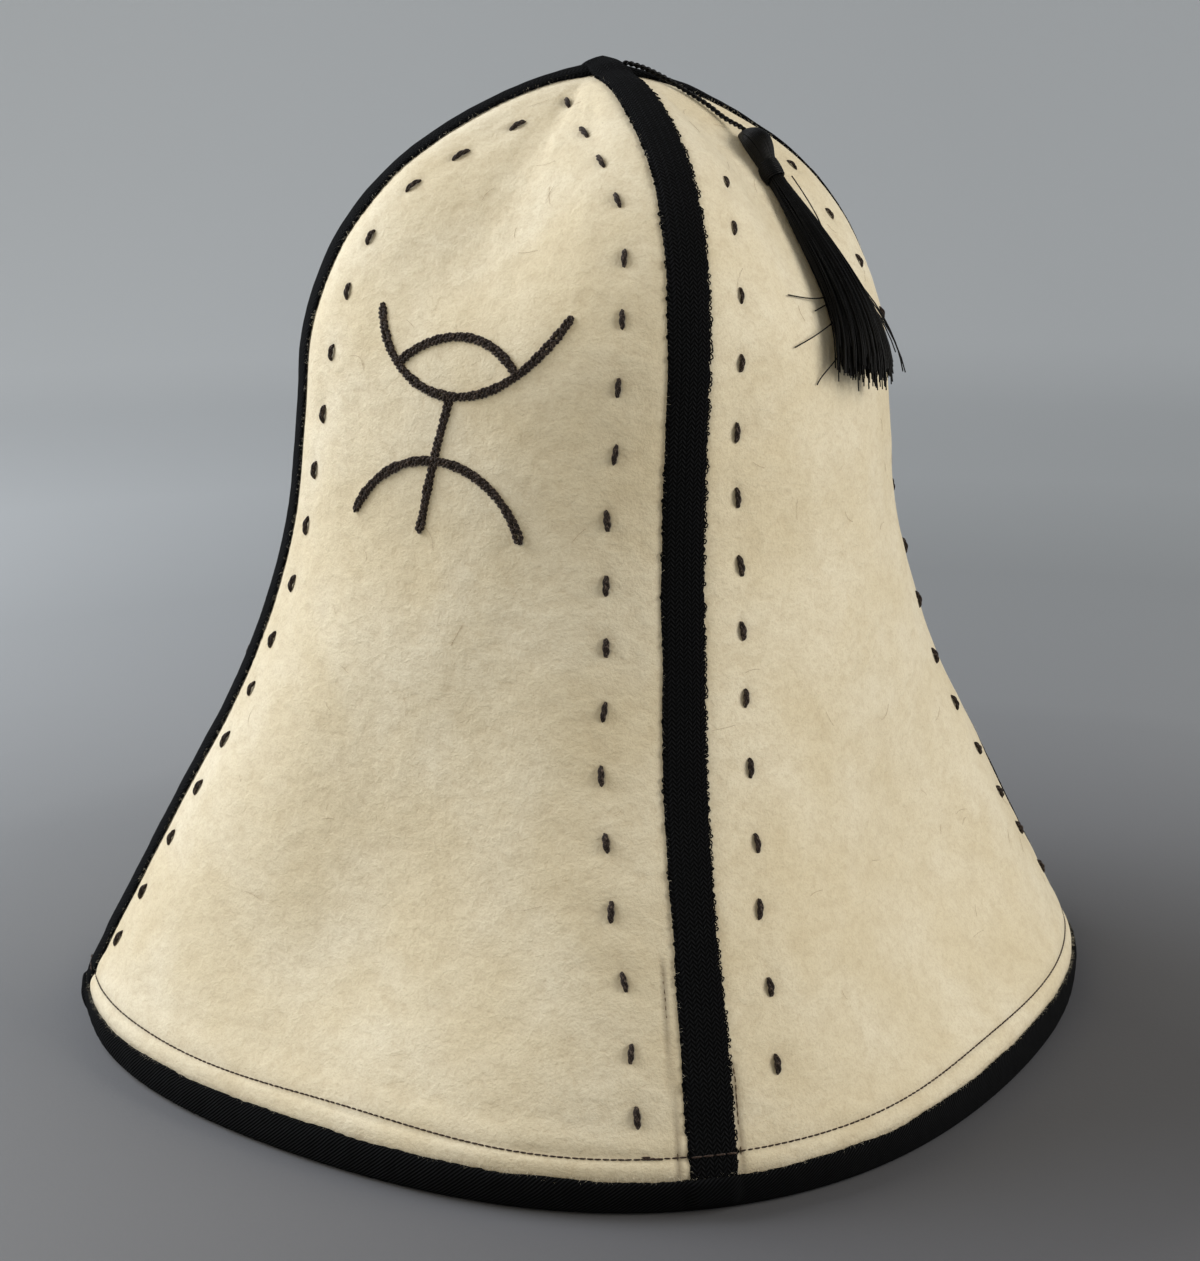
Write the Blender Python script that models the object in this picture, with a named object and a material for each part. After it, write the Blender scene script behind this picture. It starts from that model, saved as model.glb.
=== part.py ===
"""A kalpak: a bell-shaped hat of four felt gores, with taped seams, a bound hem, a sign worked in
chain stitch and a tassel on a cord. Metres, +Z up. The origin is on the surface that the hat stands
on, under the middle of its hem. The front seam is towards -Y and the side seams are at +X and -X."""

import math
from collections import namedtuple

import bmesh
import bpy
import numpy as np
from mathutils import Vector

# Driving sizes of the bell
HAT_HEIGHT = 0.320
HEM_RADIUS = 0.1760
NECK_RADIUS = 0.1012
CROWN_LEAN = 0.0064
LEAN_TURN = math.radians(79)

# Felt, tapes and the gaps between the pieces
FELT_THICKNESS = 0.003
SEAM_GAP = 0.0006
TIP_OPENING = 0.004
CLEARANCE = 0.0004
TAPE_THICKNESS = 0.001
TAPE_WIDTH = 0.0132
TAPE_RAMP = 0.009
BINDING_THICKNESS = 0.001
BINDING_HEIGHT = 0.0105
BINDING_INNER_HEIGHT = 0.0090
BINDING_ROUNDING = 0.0016

# The sign on the front left gore: its middle, its strands, and its strokes below
SIGN_TURN = math.radians(-45)
SIGN_HEIGHT = 0.210
SIGN_WIDTH = 0.0675
STRAND_WIDTH = 0.0028
STRAND_RISE = 0.0015
STRAND_END = 0.0010

# The tassel and the cord that it hangs on
CORD_DIAMETER = 0.0018
TASSEL_LENGTH = 0.087
HEAD_WIDTH = 0.0096
NECK_WIDTH = 0.0062
SKIRT_WIDTH = 0.0205
SKIRT_DEPTH = 0.0100
LOCK_COUNT = 9
LOCK_DEPTH = 0.16
LOCK_STAGGER = 0.0035

# Cells of the meshes
GORE_CELLS = (14, 22)
TAPE_CELLS_ACROSS = 4
TAPE_CELLS_ON_WALL = 22
TAPE_CELLS_AT_CROSSING = 5
TASSEL_CELLS = (27, 16)
STRAND_SIDES = 8
WELD = 0.00001

# Sections of the bell, from the hem to the tip. height is a share of the felt's height, flare a
# share of how far the hem reaches past the neck, and crown a share of the neck's radius. dish is how
# far the middle of a gore lies inside its seams, as a share of the radius, and twist turns the seams.
Section = namedtuple("Section", "height flare crown dish twist_degrees")
SECTIONS = [
    Section(0.00, 1.000, 1.000, 0.060, 0.0),
    Section(0.03, 1.020, 1.000, 0.075, 0.0),
    Section(0.08, 0.935, 1.000, 0.110, 0.0),
    Section(0.15, 0.780, 1.000, 0.150, 0.1),
    Section(0.25, 0.555, 1.000, 0.155, 0.2),
    Section(0.35, 0.325, 1.000, 0.100, 0.8),
    Section(0.45, 0.152, 1.000, 0.055, 1.9),
    Section(0.55, 0.042, 1.000, 0.045, 2.6),
    Section(0.65, 0.000, 0.998, 0.055, 3.2),
    Section(0.75, 0.000, 0.967, 0.110, 4.0),
    Section(0.83, 0.000, 0.870, 0.220, 4.9),
    Section(0.90, 0.000, 0.692, 0.290, 5.9),
    Section(0.95, 0.000, 0.460, 0.330, 6.7),
    Section(0.98, 0.000, 0.255, 0.350, 7.2),
    Section(1.00, 0.000, 0.000, 0.350, 7.6),
]

# Strokes of the sign: each is an arc through three places, across and up from the sign's middle, as
# shares of SIGN_WIDTH.
Stroke = namedtuple("Stroke", "name start middle end cells")
SIGN_STROKES = [
    Stroke("bowl", (-0.459, 0.516), (0.015, 0.130), (0.541, 0.492), 18),
    Stroke("lid", (-0.264, 0.289), (0.015, 0.397), (0.350, 0.255), 10),
    Stroke("stem", (0.028, 0.130), (-0.022, -0.179), (-0.070, -0.489), 8),
    Stroke("arch", (-0.481, -0.440), (-0.044, -0.167), (0.467, -0.498), 18),
]

# The way of the cord down the front right gore. turn is an angle from the front seam, down is the
# way from the tip as a share of the gore's length, and lift is the gap between felt and cord.
Place = namedtuple("Place", "turn_degrees down lift")
CORD_ROUTE = [
    Place(64, 0.0265, 0.0022),
    Place(65, 0.0420, 0.0021),
    Place(66, 0.0600, 0.0014),
    Place(66, 0.0850, 0.0006),
    Place(65, 0.1150, 0.0005),
    Place(63, 0.1400, 0.0008),
    Place(61, 0.1600, 0.0026),
]

# The way of the tassel's middle line after the cord. along is a share of the tassel's length.
Bend = namedtuple("Bend", "turn_degrees along")
TASSEL_ROUTE = [
    Bend(61.0, 0.000),
    Bend(56.5, 0.150),
    Bend(52.0, 0.330),
    Bend(47.0, 0.520),
    Bend(43.5, 0.720),
    Bend(41.5, 1.000),
]

# Widths of the tassel from the top of its head to the end of its skirt. along is a share of its
# length, and the others are shares of HEAD_WIDTH, NECK_WIDTH and SKIRT_WIDTH.
Girth = namedtuple("Girth", "along head neck skirt locks")
TASSEL_GIRTHS = [
    Girth(0.000, 0.00, 0.0, 0.00, 0.0),
    Girth(0.012, 0.52, 0.0, 0.00, 0.0),
    Girth(0.040, 0.86, 0.0, 0.00, 0.0),
    Girth(0.085, 1.00, 0.0, 0.00, 0.0),
    Girth(0.130, 0.84, 0.0, 0.00, 0.0),
    Girth(0.160, 0.00, 1.0, 0.00, 0.0),
    Girth(0.215, 0.00, 1.0, 0.00, 0.1),
    Girth(0.260, 0.00, 0.0, 0.42, 0.5),
    Girth(0.400, 0.00, 0.0, 0.50, 0.8),
    Girth(0.600, 0.00, 0.0, 0.68, 1.0),
    Girth(0.800, 0.00, 0.0, 0.88, 1.0),
    Girth(0.960, 0.00, 0.0, 1.00, 1.0),
    Girth(1.000, 0.00, 0.0, 0.92, 1.0),
]

Finish = namedtuple("Finish", "color roughness")
FINISHES = {
    "cream_felt": Finish((0.78, 0.69, 0.52), 0.95),
    "black_tape": Finish((0.012, 0.013, 0.017), 0.80),
    "dark_wool": Finish((0.030, 0.020, 0.018), 0.90),
    "black_rayon": Finish((0.008, 0.008, 0.009), 0.45),
}


def remove_all_objects():
    """Start from an empty scene."""
    for thing in list(bpy.data.objects):
        bpy.data.objects.remove(thing, do_unlink=True)


def new_collection(name):
    collection = bpy.data.collections.new(name)
    bpy.context.scene.collection.children.link(collection)
    return collection


def finish_material(name):
    """The Principled material of one finish, made once."""
    if name in bpy.data.materials:
        return bpy.data.materials[name]
    material = bpy.data.materials.new(name)
    material.use_nodes = True
    shader = material.node_tree.nodes["Principled BSDF"]
    shader.inputs["Base Color"].default_value = (*FINISHES[name].color, 1.0)
    shader.inputs["Roughness"].default_value = FINISHES[name].roughness
    return material


def smooth(knots, values, places):
    """Read a smooth curve through the values at the knots."""
    slopes = np.gradient(values, knots)
    cell = np.clip(np.searchsorted(knots, places, side="right") - 1, 0, len(knots) - 2)
    width = knots[cell + 1] - knots[cell]
    share = (places - knots[cell]) / width
    rest = 1 - share
    start = (1 + 2 * share) * rest**2 * values[cell] + share * rest**2 * width * slopes[cell]
    end = share**2 * (3 - 2 * share) * values[cell + 1] - share**2 * rest * width * slopes[cell + 1]
    return start + end


class Bell:
    """The outer face of the felt, read by turn (an angle from the front seam) and climb (the share
    of the way up from the hem to the tip)."""

    SAMPLES = 1201

    def __init__(self):
        table = np.array(SECTIONS)
        self.tip = HAT_HEIGHT - 2 * (TAPE_THICKNESS + CLEARANCE)
        height = table[:, 0] * self.tip
        radius = NECK_RADIUS * table[:, 2] + (HEM_RADIUS - NECK_RADIUS) * table[:, 1]
        knots = np.concatenate([[0.0], np.cumsum(np.hypot(np.diff(height), np.diff(radius)))])
        places = np.linspace(0.0, knots[-1], self.SAMPLES)
        self.length = knots[-1]
        self.climb = places / self.length
        self.height = np.maximum.accumulate(smooth(knots, height, places))
        self.radius = np.maximum(smooth(knots, radius, places), 0.0)
        self.dish = smooth(knots, table[:, 3], places)
        self.twist = np.radians(smooth(knots, table[:, 4], places))

    def lean(self, height):
        reach = CROWN_LEAN * height / HAT_HEIGHT
        return Vector((math.sin(LEAN_TURN) * reach, -math.cos(LEAN_TURN) * reach, 0.0))

    def read(self, column, climb):
        return float(np.interp(climb, self.climb, column))

    def radius_at(self, turn, climb):
        dish = self.read(self.dish, climb)
        return self.read(self.radius, climb) * (1 - dish * (1 - math.cos(4 * turn)) / 2)

    def point(self, turn, climb):
        radius = self.radius_at(turn, climb)
        height = self.read(self.height, climb)
        angle = turn + self.read(self.twist, climb)
        place = Vector((radius * math.sin(angle), -radius * math.cos(angle), height))
        return place + self.lean(height)

    def outside(self, point):
        """How far a point lies outside the face, measured level; negative inside."""
        if point.z >= self.tip:
            return math.hypot(point.x, point.y) + point.z - self.tip
        climb = float(np.interp(point.z, self.height, self.climb))
        level = point - self.lean(point.z)
        turn = math.atan2(level.x, -level.y) - self.read(self.twist, climb)
        return math.hypot(level.x, level.y) - self.radius_at(turn, climb)

    def normal(self, point, step=0.0004):
        """The outward normal, from how the distance outside changes around a point."""
        rise = []
        for axis in (Vector((step, 0, 0)), Vector((0, step, 0)), Vector((0, 0, step))):
            rise.append(self.outside(point + axis) - self.outside(point - axis))
        return Vector(rise).normalized()

    def place(self, turn, climb, out=0.0):
        """A point of the face, moved outward along its normal."""
        point = self.point(turn, climb)
        return point + self.normal(point) * out

    def drop(self, point, direction, reach=0.02):
        """Where a line through the point, along the direction, meets the face."""
        low = -reach
        high = reach
        for _ in range(40):
            middle = (low + high) / 2
            if self.outside(point + direction * middle) > 0:
                high = middle
            else:
                low = middle
        return point + direction * low


BELL = Bell()


def mapped_grid(name, cells, place, finish, collection, thick=False):
    """A flat grid of the unit square, or a slab of it if thick, whose corners go where place sends
    their across, along and depth shares. Edges that meet there are welded."""
    mesh = bmesh.new()
    bmesh.ops.create_grid(mesh, x_segments=cells[0], y_segments=cells[1], size=0.5)
    if thick:
        bmesh.ops.solidify(mesh, geom=mesh.faces[:], thickness=1.0)
    lowest = min(corner.co.z for corner in mesh.verts)
    for corner in mesh.verts:
        across = corner.co.x + 0.5
        along = corner.co.y + 0.5
        corner.co = place(across, along, corner.co.z - lowest)
    bmesh.ops.remove_doubles(mesh, verts=mesh.verts[:], dist=WELD)
    bmesh.ops.recalc_face_normals(mesh, faces=mesh.faces[:])
    data = bpy.data.meshes.new(name)
    mesh.to_mesh(data)
    mesh.free()
    data.shade_smooth()
    data.set_sharp_from_angle(angle=math.radians(40))
    data.materials.append(finish_material(finish))
    thing = bpy.data.objects.new(name, data)
    collection.objects.link(thing)
    return thing


def add_gore(name, middle_degrees, collection):
    """One felt gore: from the fold of the binding to the small opening under the tapes."""
    first = (BINDING_THICKNESS + CLEARANCE) / BELL.length
    bound = BINDING_HEIGHT / BELL.length
    last = 1 - TIP_OPENING / BELL.length
    climbs = np.concatenate([[first], np.linspace(bound, last, GORE_CELLS[1])])
    rows = np.linspace(0.0, 1.0, len(climbs))

    def place(across, along, depth):
        climb = float(np.interp(along, rows, climbs))
        middle = math.radians(middle_degrees)
        half = math.radians(45) - SEAM_GAP / 2 / BELL.read(BELL.radius, climb)
        turn = middle + (2 * across - 1) * half
        return BELL.place(turn, climb, -FELT_THICKNESS * depth)

    return mapped_grid(name, GORE_CELLS, place, "cream_felt", collection, thick=True)


def tape_stations():
    """Ways from the tip to a tape's rows, close together where the tapes cross."""
    crossing = TAPE_WIDTH / 2 + TAPE_RAMP
    end = BELL.length - BINDING_HEIGHT - CLEARANCE
    near = np.linspace(0.0, crossing, TAPE_CELLS_AT_CROSSING + 1)
    far = np.linspace(crossing, end, TAPE_CELLS_ON_WALL + 1)
    half = np.concatenate([near, far[1:]])
    return np.concatenate([-half[:0:-1], half])


def crossing_lift(way):
    """How far the upper tape rises to pass over the lower one near the tip."""
    share = (TAPE_WIDTH / 2 + TAPE_RAMP - abs(way)) / TAPE_RAMP
    share = min(max(share, 0.0), 1.0)
    return (TAPE_THICKNESS + CLEARANCE) * share * share * (3 - 2 * share)


def add_tape(name, seam_degrees, lifted, collection):
    """A flat tape up one seam, over the tip and down the opposite one."""
    stations = tape_stations()
    rows = np.linspace(0.0, 1.0, len(stations))
    seam = math.radians(seam_degrees)

    def place(across, along, depth):
        way = float(np.interp(along, rows, stations))
        climb = 1 - abs(way) / BELL.length
        turn = seam if way <= 0 else seam + math.pi
        middle = BELL.point(turn, climb)
        angle = seam + BELL.read(BELL.twist, climb)
        sideways = Vector((math.cos(angle), math.sin(angle), 0.0))
        edge = middle + sideways * (across - 0.5) * TAPE_WIDTH
        foot = BELL.drop(edge, BELL.normal(middle))
        out = CLEARANCE + TAPE_THICKNESS * (1 - depth)
        if lifted:
            out += crossing_lift(way)
        return foot + BELL.normal(foot) * out

    cells = (TAPE_CELLS_ACROSS, len(stations) - 1)
    return mapped_grid(name, cells, place, "black_tape", collection, thick=True)


def binding_section():
    """The folded tape's outline: how far out from the felt's outer face and how far up the wall."""
    inner = -FELT_THICKNESS - CLEARANCE
    outer = CLEARANCE
    floor = BINDING_THICKNESS
    return [
        (outer, floor),
        (outer, BINDING_HEIGHT),
        (outer + BINDING_THICKNESS, BINDING_HEIGHT),
        (outer + BINDING_THICKNESS, BINDING_ROUNDING),
        (outer + BINDING_THICKNESS - BINDING_ROUNDING, 0.0),
        (inner - BINDING_THICKNESS + BINDING_ROUNDING, 0.0),
        (inner - BINDING_THICKNESS, BINDING_ROUNDING),
        (inner - BINDING_THICKNESS, BINDING_INNER_HEIGHT),
        (inner, BINDING_INNER_HEIGHT),
        (inner, floor),
    ]


def add_binding(name, collection):
    """The tape folded over the felt's lower edge, with a flat fold that stands on the surface."""
    section = binding_section()

    def place(across, along, _depth):
        turn = 2 * math.pi * across
        out, up = section[round(along * len(section)) % len(section)]
        point = BELL.place(turn, up / BELL.length, out)
        if up == 0.0:
            point.z = 0.0
        return point

    cells = (4 * GORE_CELLS[0], len(section))
    return mapped_grid(name, cells, place, "black_tape", collection)


def arc_points(start, middle, end, cells):
    """Points along the arc through three places."""
    (ax, ay), (bx, by), (cx, cy) = start, middle, end
    turn = 2 * (ax * (by - cy) + bx * (cy - ay) + cx * (ay - by))
    a2, b2, c2 = ax * ax + ay * ay, bx * bx + by * by, cx * cx + cy * cy
    ox = (a2 * (by - cy) + b2 * (cy - ay) + c2 * (ay - by)) / turn
    oy = (a2 * (cx - bx) + b2 * (ax - cx) + c2 * (bx - ax)) / turn
    first = math.atan2(ay - oy, ax - ox)
    sweep = (math.atan2(cy - oy, cx - ox) - first) % (2 * math.pi)
    reach = (math.atan2(by - oy, bx - ox) - first) % (2 * math.pi)
    if reach > sweep:
        sweep -= 2 * math.pi
    radius = math.hypot(ax - ox, ay - oy)
    angles = [first + sweep * step / cells for step in range(cells + 1)]
    return [(ox + radius * math.cos(angle), oy + radius * math.sin(angle)) for angle in angles]


def on_sign(across, up, out):
    """A point of the sign's own sheet, laid on the gore."""
    middle = float(np.interp(SIGN_HEIGHT, BELL.height, BELL.climb))
    climb = middle + up / BELL.length
    turn = SIGN_TURN + across / BELL.radius_at(SIGN_TURN, climb)
    return BELL.place(turn, climb, out)


def add_stroke(stroke, collection):
    """One raised strand of the sign, with rounded ends."""
    shares = arc_points(stroke.start, stroke.middle, stroke.end, stroke.cells)
    route = [(across * SIGN_WIDTH, up * SIGN_WIDTH) for across, up in shares]
    cells = (STRAND_SIDES, stroke.cells + 2)

    def place(across, along, _depth):
        step = round(along * cells[1]) - 1
        row = min(max(step, 0), stroke.cells)
        before = route[max(row - 1, 0)]
        after = route[min(row + 1, stroke.cells)]
        length = math.hypot(after[0] - before[0], after[1] - before[1])
        ahead = ((after[0] - before[0]) / length, (after[1] - before[1]) / length)
        around = 2 * math.pi * across
        past = STRAND_END * ((step > stroke.cells) - (step < 0))
        size = 0.0 if past else 1.0
        side = math.cos(around) * STRAND_WIDTH / 2 * size
        out = CLEARANCE + STRAND_RISE / 2 * (1 + math.sin(around) * size)
        x = route[row][0] - ahead[1] * side + ahead[0] * past
        y = route[row][1] + ahead[0] * side + ahead[1] * past
        return on_sign(x, y, out)

    return mapped_grid(f"sign_{stroke.name}", cells, place, "dark_wool", collection)


def add_sign(name, collection, cutters):
    """The sign's strokes, joined into one raised strand."""
    strokes = [add_stroke(stroke, cutters) for stroke in SIGN_STROKES]
    sign = strokes[0]
    sign.name = name
    cutters.objects.unlink(sign)
    collection.objects.link(sign)
    for other in strokes[1:]:
        other.hide_render = True
        other.display_type = "WIRE"
        union = sign.modifiers.new(other.name, "BOOLEAN")
        union.operation = "UNION"
        union.object = other
    return sign


def cord_centre(place):
    """The middle of the cord at one place of its route."""
    out = CORD_DIAMETER / 2 + place.lift
    return BELL.place(math.radians(place.turn_degrees), 1 - place.down, out)


def tassel_reach():
    """How far down the gore the tassel's head begins, as a share of the gore's length."""
    return CORD_ROUTE[-1].down + (CORD_DIAMETER / 2 + CLEARANCE) / BELL.length


def girth_at(along):
    """The tassel's width, its depth off the felt and how deep its locks are cut."""
    table = np.array(TASSEL_GIRTHS)
    widths = HEAD_WIDTH * table[:, 1] + NECK_WIDTH * table[:, 2] + SKIRT_WIDTH * table[:, 3]
    depths = HEAD_WIDTH * table[:, 1] + NECK_WIDTH * table[:, 2] + SKIRT_DEPTH * table[:, 3]
    width = float(np.interp(along, table[:, 0], widths))
    depth = float(np.interp(along, table[:, 0], depths))
    locks = float(np.interp(along, table[:, 0], table[:, 4]))
    return width, depth, locks


def tassel_frame(along):
    """A place on the felt under the tassel's middle line, and its axes: across, outward, ahead."""
    shares = np.array([bend.along for bend in TASSEL_ROUTE])
    turns = np.array([bend.turn_degrees for bend in TASSEL_ROUTE])

    def foot(share):
        turn = math.radians(float(smooth(shares, turns, np.array([share]))[0]))
        down = tassel_reach() + share * TASSEL_LENGTH / BELL.length
        return BELL.point(turn, 1 - down)

    here = foot(along)
    step = 0.01
    ahead = (foot(along + step) - foot(along - step)).normalized()
    outward = BELL.normal(here)
    return here, ahead.cross(outward), outward, ahead


def add_tassel(name, collection):
    """A head, a bound neck and a skirt in locks, as one body that lies on the felt."""
    rows = TASSEL_CELLS[1]
    girths = np.array([girth.along for girth in TASSEL_GIRTHS])
    knots = np.linspace(0, rows - 1, len(girths))

    def place(across, along, _depth):
        row = round(along * rows)
        share = float(np.interp(row, knots, girths))
        around = 2 * math.pi * across
        width, depth, locks = girth_at(share)
        here, sideways, outward, ahead = tassel_frame(share)
        cut = 1 - LOCK_DEPTH * locks * (1 - math.cos(LOCK_COUNT * around)) / 2
        size = 0.0 if row == rows else cut
        stagger = LOCK_STAGGER * math.sin(3 * around + 1.0) * (share > 0.9) * size
        middle = here + outward * (CLEARANCE + depth / 2)
        side = sideways * math.cos(around) * width / 2 * size
        rise = outward * math.sin(around) * depth / 2 * size
        return middle + side + rise + ahead * stagger

    return mapped_grid(name, TASSEL_CELLS, place, "black_rayon", collection)


def add_cord(name, collection):
    """The cord from under the tapes to the tassel's head, as a round curve."""
    knots = np.array([place.down for place in CORD_ROUTE])
    turns = np.array([place.turn_degrees for place in CORD_ROUTE])
    lifts = np.array([place.lift for place in CORD_ROUTE])
    spacing = 2.2 * CORD_DIAMETER
    count = max(round((knots[-1] - knots[0]) * BELL.length / spacing), 6)
    downs = np.linspace(knots[0], knots[-1], count + 1)
    curve = bpy.data.curves.new(name, "CURVE")
    curve.dimensions = "3D"
    curve.bevel_depth = CORD_DIAMETER / 2
    curve.bevel_resolution = 2
    curve.use_fill_caps = True
    line = curve.splines.new("POLY")
    line.points.add(count)
    columns = zip(smooth(knots, turns, downs), downs, smooth(knots, lifts, downs))
    for corner, place in zip(line.points, columns):
        corner.co = (*cord_centre(Place(*map(float, place))), 1.0)
    curve.materials.append(finish_material("black_rayon"))
    thing = bpy.data.objects.new(name, curve)
    collection.objects.link(thing)
    return thing


def build_kalpak():
    remove_all_objects()
    parts = new_collection("kalpak")
    cutters = new_collection("cutters")
    base = bpy.data.objects.new("kalpak_base", None)
    parts.objects.link(base)
    pieces = [
        add_gore("gore_front_left", -45, parts),
        add_gore("gore_front_right", 45, parts),
        add_gore("gore_back_right", 135, parts),
        add_gore("gore_back_left", -135, parts),
        add_tape("seam_tape_side", -90, False, parts),
        add_tape("seam_tape_front_back", 0, True, parts),
        add_binding("hem_binding", parts),
        add_sign("embroidered_sign", parts, cutters),
        add_cord("tassel_cord", parts),
        add_tassel("tassel", parts),
    ]
    for piece in pieces:
        piece.parent = base


build_kalpak()
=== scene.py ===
"""The looks of a kalpak: felt gores, taped seams, a bound hem, running stitches, a sign in chain
stitch and a tassel of threads. Metres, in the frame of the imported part. turn is an angle from the
front seam, climb a share of the way from the hem to the tip, and up that way in metres."""

import math
from collections import namedtuple

import bpy
import numpy as np
from mathutils import Matrix, Vector


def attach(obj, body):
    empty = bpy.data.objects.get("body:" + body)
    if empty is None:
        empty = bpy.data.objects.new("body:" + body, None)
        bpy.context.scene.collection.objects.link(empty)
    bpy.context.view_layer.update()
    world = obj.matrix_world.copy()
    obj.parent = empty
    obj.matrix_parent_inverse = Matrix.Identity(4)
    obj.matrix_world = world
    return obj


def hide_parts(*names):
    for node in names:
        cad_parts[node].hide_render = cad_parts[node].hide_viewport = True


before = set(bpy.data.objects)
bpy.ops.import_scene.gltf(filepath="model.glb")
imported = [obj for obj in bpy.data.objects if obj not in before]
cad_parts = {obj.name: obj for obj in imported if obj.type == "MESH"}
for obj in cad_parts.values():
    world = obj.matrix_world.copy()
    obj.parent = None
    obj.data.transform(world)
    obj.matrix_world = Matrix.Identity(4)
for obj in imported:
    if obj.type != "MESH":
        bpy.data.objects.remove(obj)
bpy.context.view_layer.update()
MM = 0.001

# Sizes that the part's source has too
HAT_HEIGHT = 0.320
HEM_RADIUS = 0.1760
NECK_RADIUS = 0.1012
CROWN_LEAN = 0.0064
LEAN_TURN = math.radians(79)
FELT_THICKNESS = 0.003
SEAM_GAP = 0.0006
TIP_OPENING = 0.004
CLEARANCE = 0.0004
TAPE_THICKNESS = 0.001
TAPE_WIDTH = 0.0132
TAPE_RAMP = 0.009
BINDING_HEIGHT = 0.0105
SIGN_TURN = math.radians(-45)
SIGN_HEIGHT = 0.210
SIGN_WIDTH = 0.0675
CORD_DIAMETER = 0.0018
TASSEL_LENGTH = 0.087
NECK_WIDTH = 0.0062

Section = namedtuple("Section", "height flare crown dish twist_degrees")
SECTIONS = [
    Section(0.00, 1.000, 1.000, 0.060, 0.0),
    Section(0.03, 1.020, 1.000, 0.075, 0.0),
    Section(0.08, 0.935, 1.000, 0.110, 0.0),
    Section(0.15, 0.780, 1.000, 0.150, 0.1),
    Section(0.25, 0.555, 1.000, 0.155, 0.2),
    Section(0.35, 0.325, 1.000, 0.100, 0.8),
    Section(0.45, 0.152, 1.000, 0.055, 1.9),
    Section(0.55, 0.042, 1.000, 0.045, 2.6),
    Section(0.65, 0.000, 0.998, 0.055, 3.2),
    Section(0.75, 0.000, 0.967, 0.110, 4.0),
    Section(0.83, 0.000, 0.870, 0.220, 4.9),
    Section(0.90, 0.000, 0.692, 0.290, 5.9),
    Section(0.95, 0.000, 0.460, 0.330, 6.7),
    Section(0.98, 0.000, 0.255, 0.350, 7.2),
    Section(1.00, 0.000, 0.000, 0.350, 7.6),
]

Stroke = namedtuple("Stroke", "name start middle end")
SIGN_STROKES = [
    Stroke("bowl", (-0.459, 0.516), (0.015, 0.130), (0.541, 0.492)),
    Stroke("lid", (-0.290, 0.270), (0.015, 0.397), (0.350, 0.255)),
    Stroke("stem", (0.028, 0.130), (-0.022, -0.179), (-0.070, -0.489)),
    Stroke("arch", (-0.481, -0.440), (-0.044, -0.167), (0.467, -0.498)),
]

Place = namedtuple("Place", "turn_degrees down lift")
CORD_ROUTE = [
    Place(64, 0.0265, 0.0022),
    Place(65, 0.0420, 0.0021),
    Place(66, 0.0600, 0.0014),
    Place(66, 0.0850, 0.0006),
    Place(65, 0.1150, 0.0005),
    Place(63, 0.1400, 0.0008),
    Place(61, 0.1600, 0.0026),
]

Bend = namedtuple("Bend", "turn_degrees along")
TASSEL_ROUTE = [
    Bend(61.0, 0.000),
    Bend(56.5, 0.150),
    Bend(53.0, 0.330),
    Bend(49.0, 0.520),
    Bend(45.2, 0.720),
    Bend(42.0, 1.000),
]

# Where the two front rows of running stitches lie in the photograph, in its pixels
LEFT_ROW_PIXELS = [(637, 1118), (631, 1054), (624, 982), (611, 912), (606, 843), (601, 776), (604, 712),
                   (606, 648), (606, 586), (607, 521), (615, 455), (618, 388), (622, 319), (624, 257),
                   (617, 199), (600, 160), (583, 131), (567, 101)]
RIGHT_ROW_PIXELS = [(777, 1064), (770, 987), (760, 909), (757, 843), (750, 768), (746, 698), (743, 631),
                    (741, 566), (738, 498), (738, 433), (743, 363), (742, 295), (735, 227), (727, 181)]

# The other rows: the seam they follow, the side of it, how many stitches, where they begin and end
# up the gore, and how far from the seam they run at some ways up. All in millimetres.
Row = namedtuple("Row", "seam_degrees side count first last way_and_offset")
STITCH_ROWS = [
    Row(-90, 1, 17, 33, 334, [(33, 14), (70, 14.5), (112, 15), (153, 17), (194, 19.5), (232, 24),
                              (249, 25), (285, 19.5), (304, 18.8), (320, 21.5), (334, 23.5)]),
    Row(90, -1, 15, 34, 310, [(34, 21), (55, 25), (80, 31), (120, 34), (160, 28), (220, 20), (271, 27),
                              (290, 26.5), (310, 21.5)]),
    Row(-90, -1, 16, 32, 334, [(32, 19), (120, 21), (200, 19), (280, 19.5), (334, 24)]),
    Row(90, 1, 16, 34, 336, [(34, 19), (120, 22), (200, 19.5), (280, 19), (336, 24)]),
    Row(180, -1, 17, 30, 340, [(30, 21), (110, 24), (190, 22), (270, 19), (340, 26)]),
    Row(180, 1, 16, 33, 338, [(33, 21), (110, 23), (190, 21), (270, 18.5), (338, 25)]),
]
STITCH_LENGTH = 0.0060
STITCH_WIDTH = 0.0022
STITCH_TWIST = 0.0080
TOPSTITCH_UP = 0.0170
TOPSTITCH_COUNT = 500
TOPSTITCH_LENGTH = 0.0022
TOPSTITCH_RADIUS = 0.00026
TASSEL_THREADS = 380
HEAD_THREADS = 46
NECK_WINDINGS = 9
CORD_TWIST = 0.0038
GORE_ROWS = 161
GORE_COLUMNS = 125
TWILL_PITCH = 0.0014
HERRINGBONE_COLUMN = 0.00125

# Loose threads right of the tassel's skirt: where each leaves it and where it ends, as shares of the
# tassel's length, and how far to the left its end lies
Stray = namedtuple("Stray", "leaves ends left")
STRAYS = [
    Stray(0.55, 0.90, -0.0215),
    Stray(0.50, 0.94, -0.0205),
    Stray(0.58, 0.97, -0.0190),
    Stray(0.45, 0.97, -0.0165),
]

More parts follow.
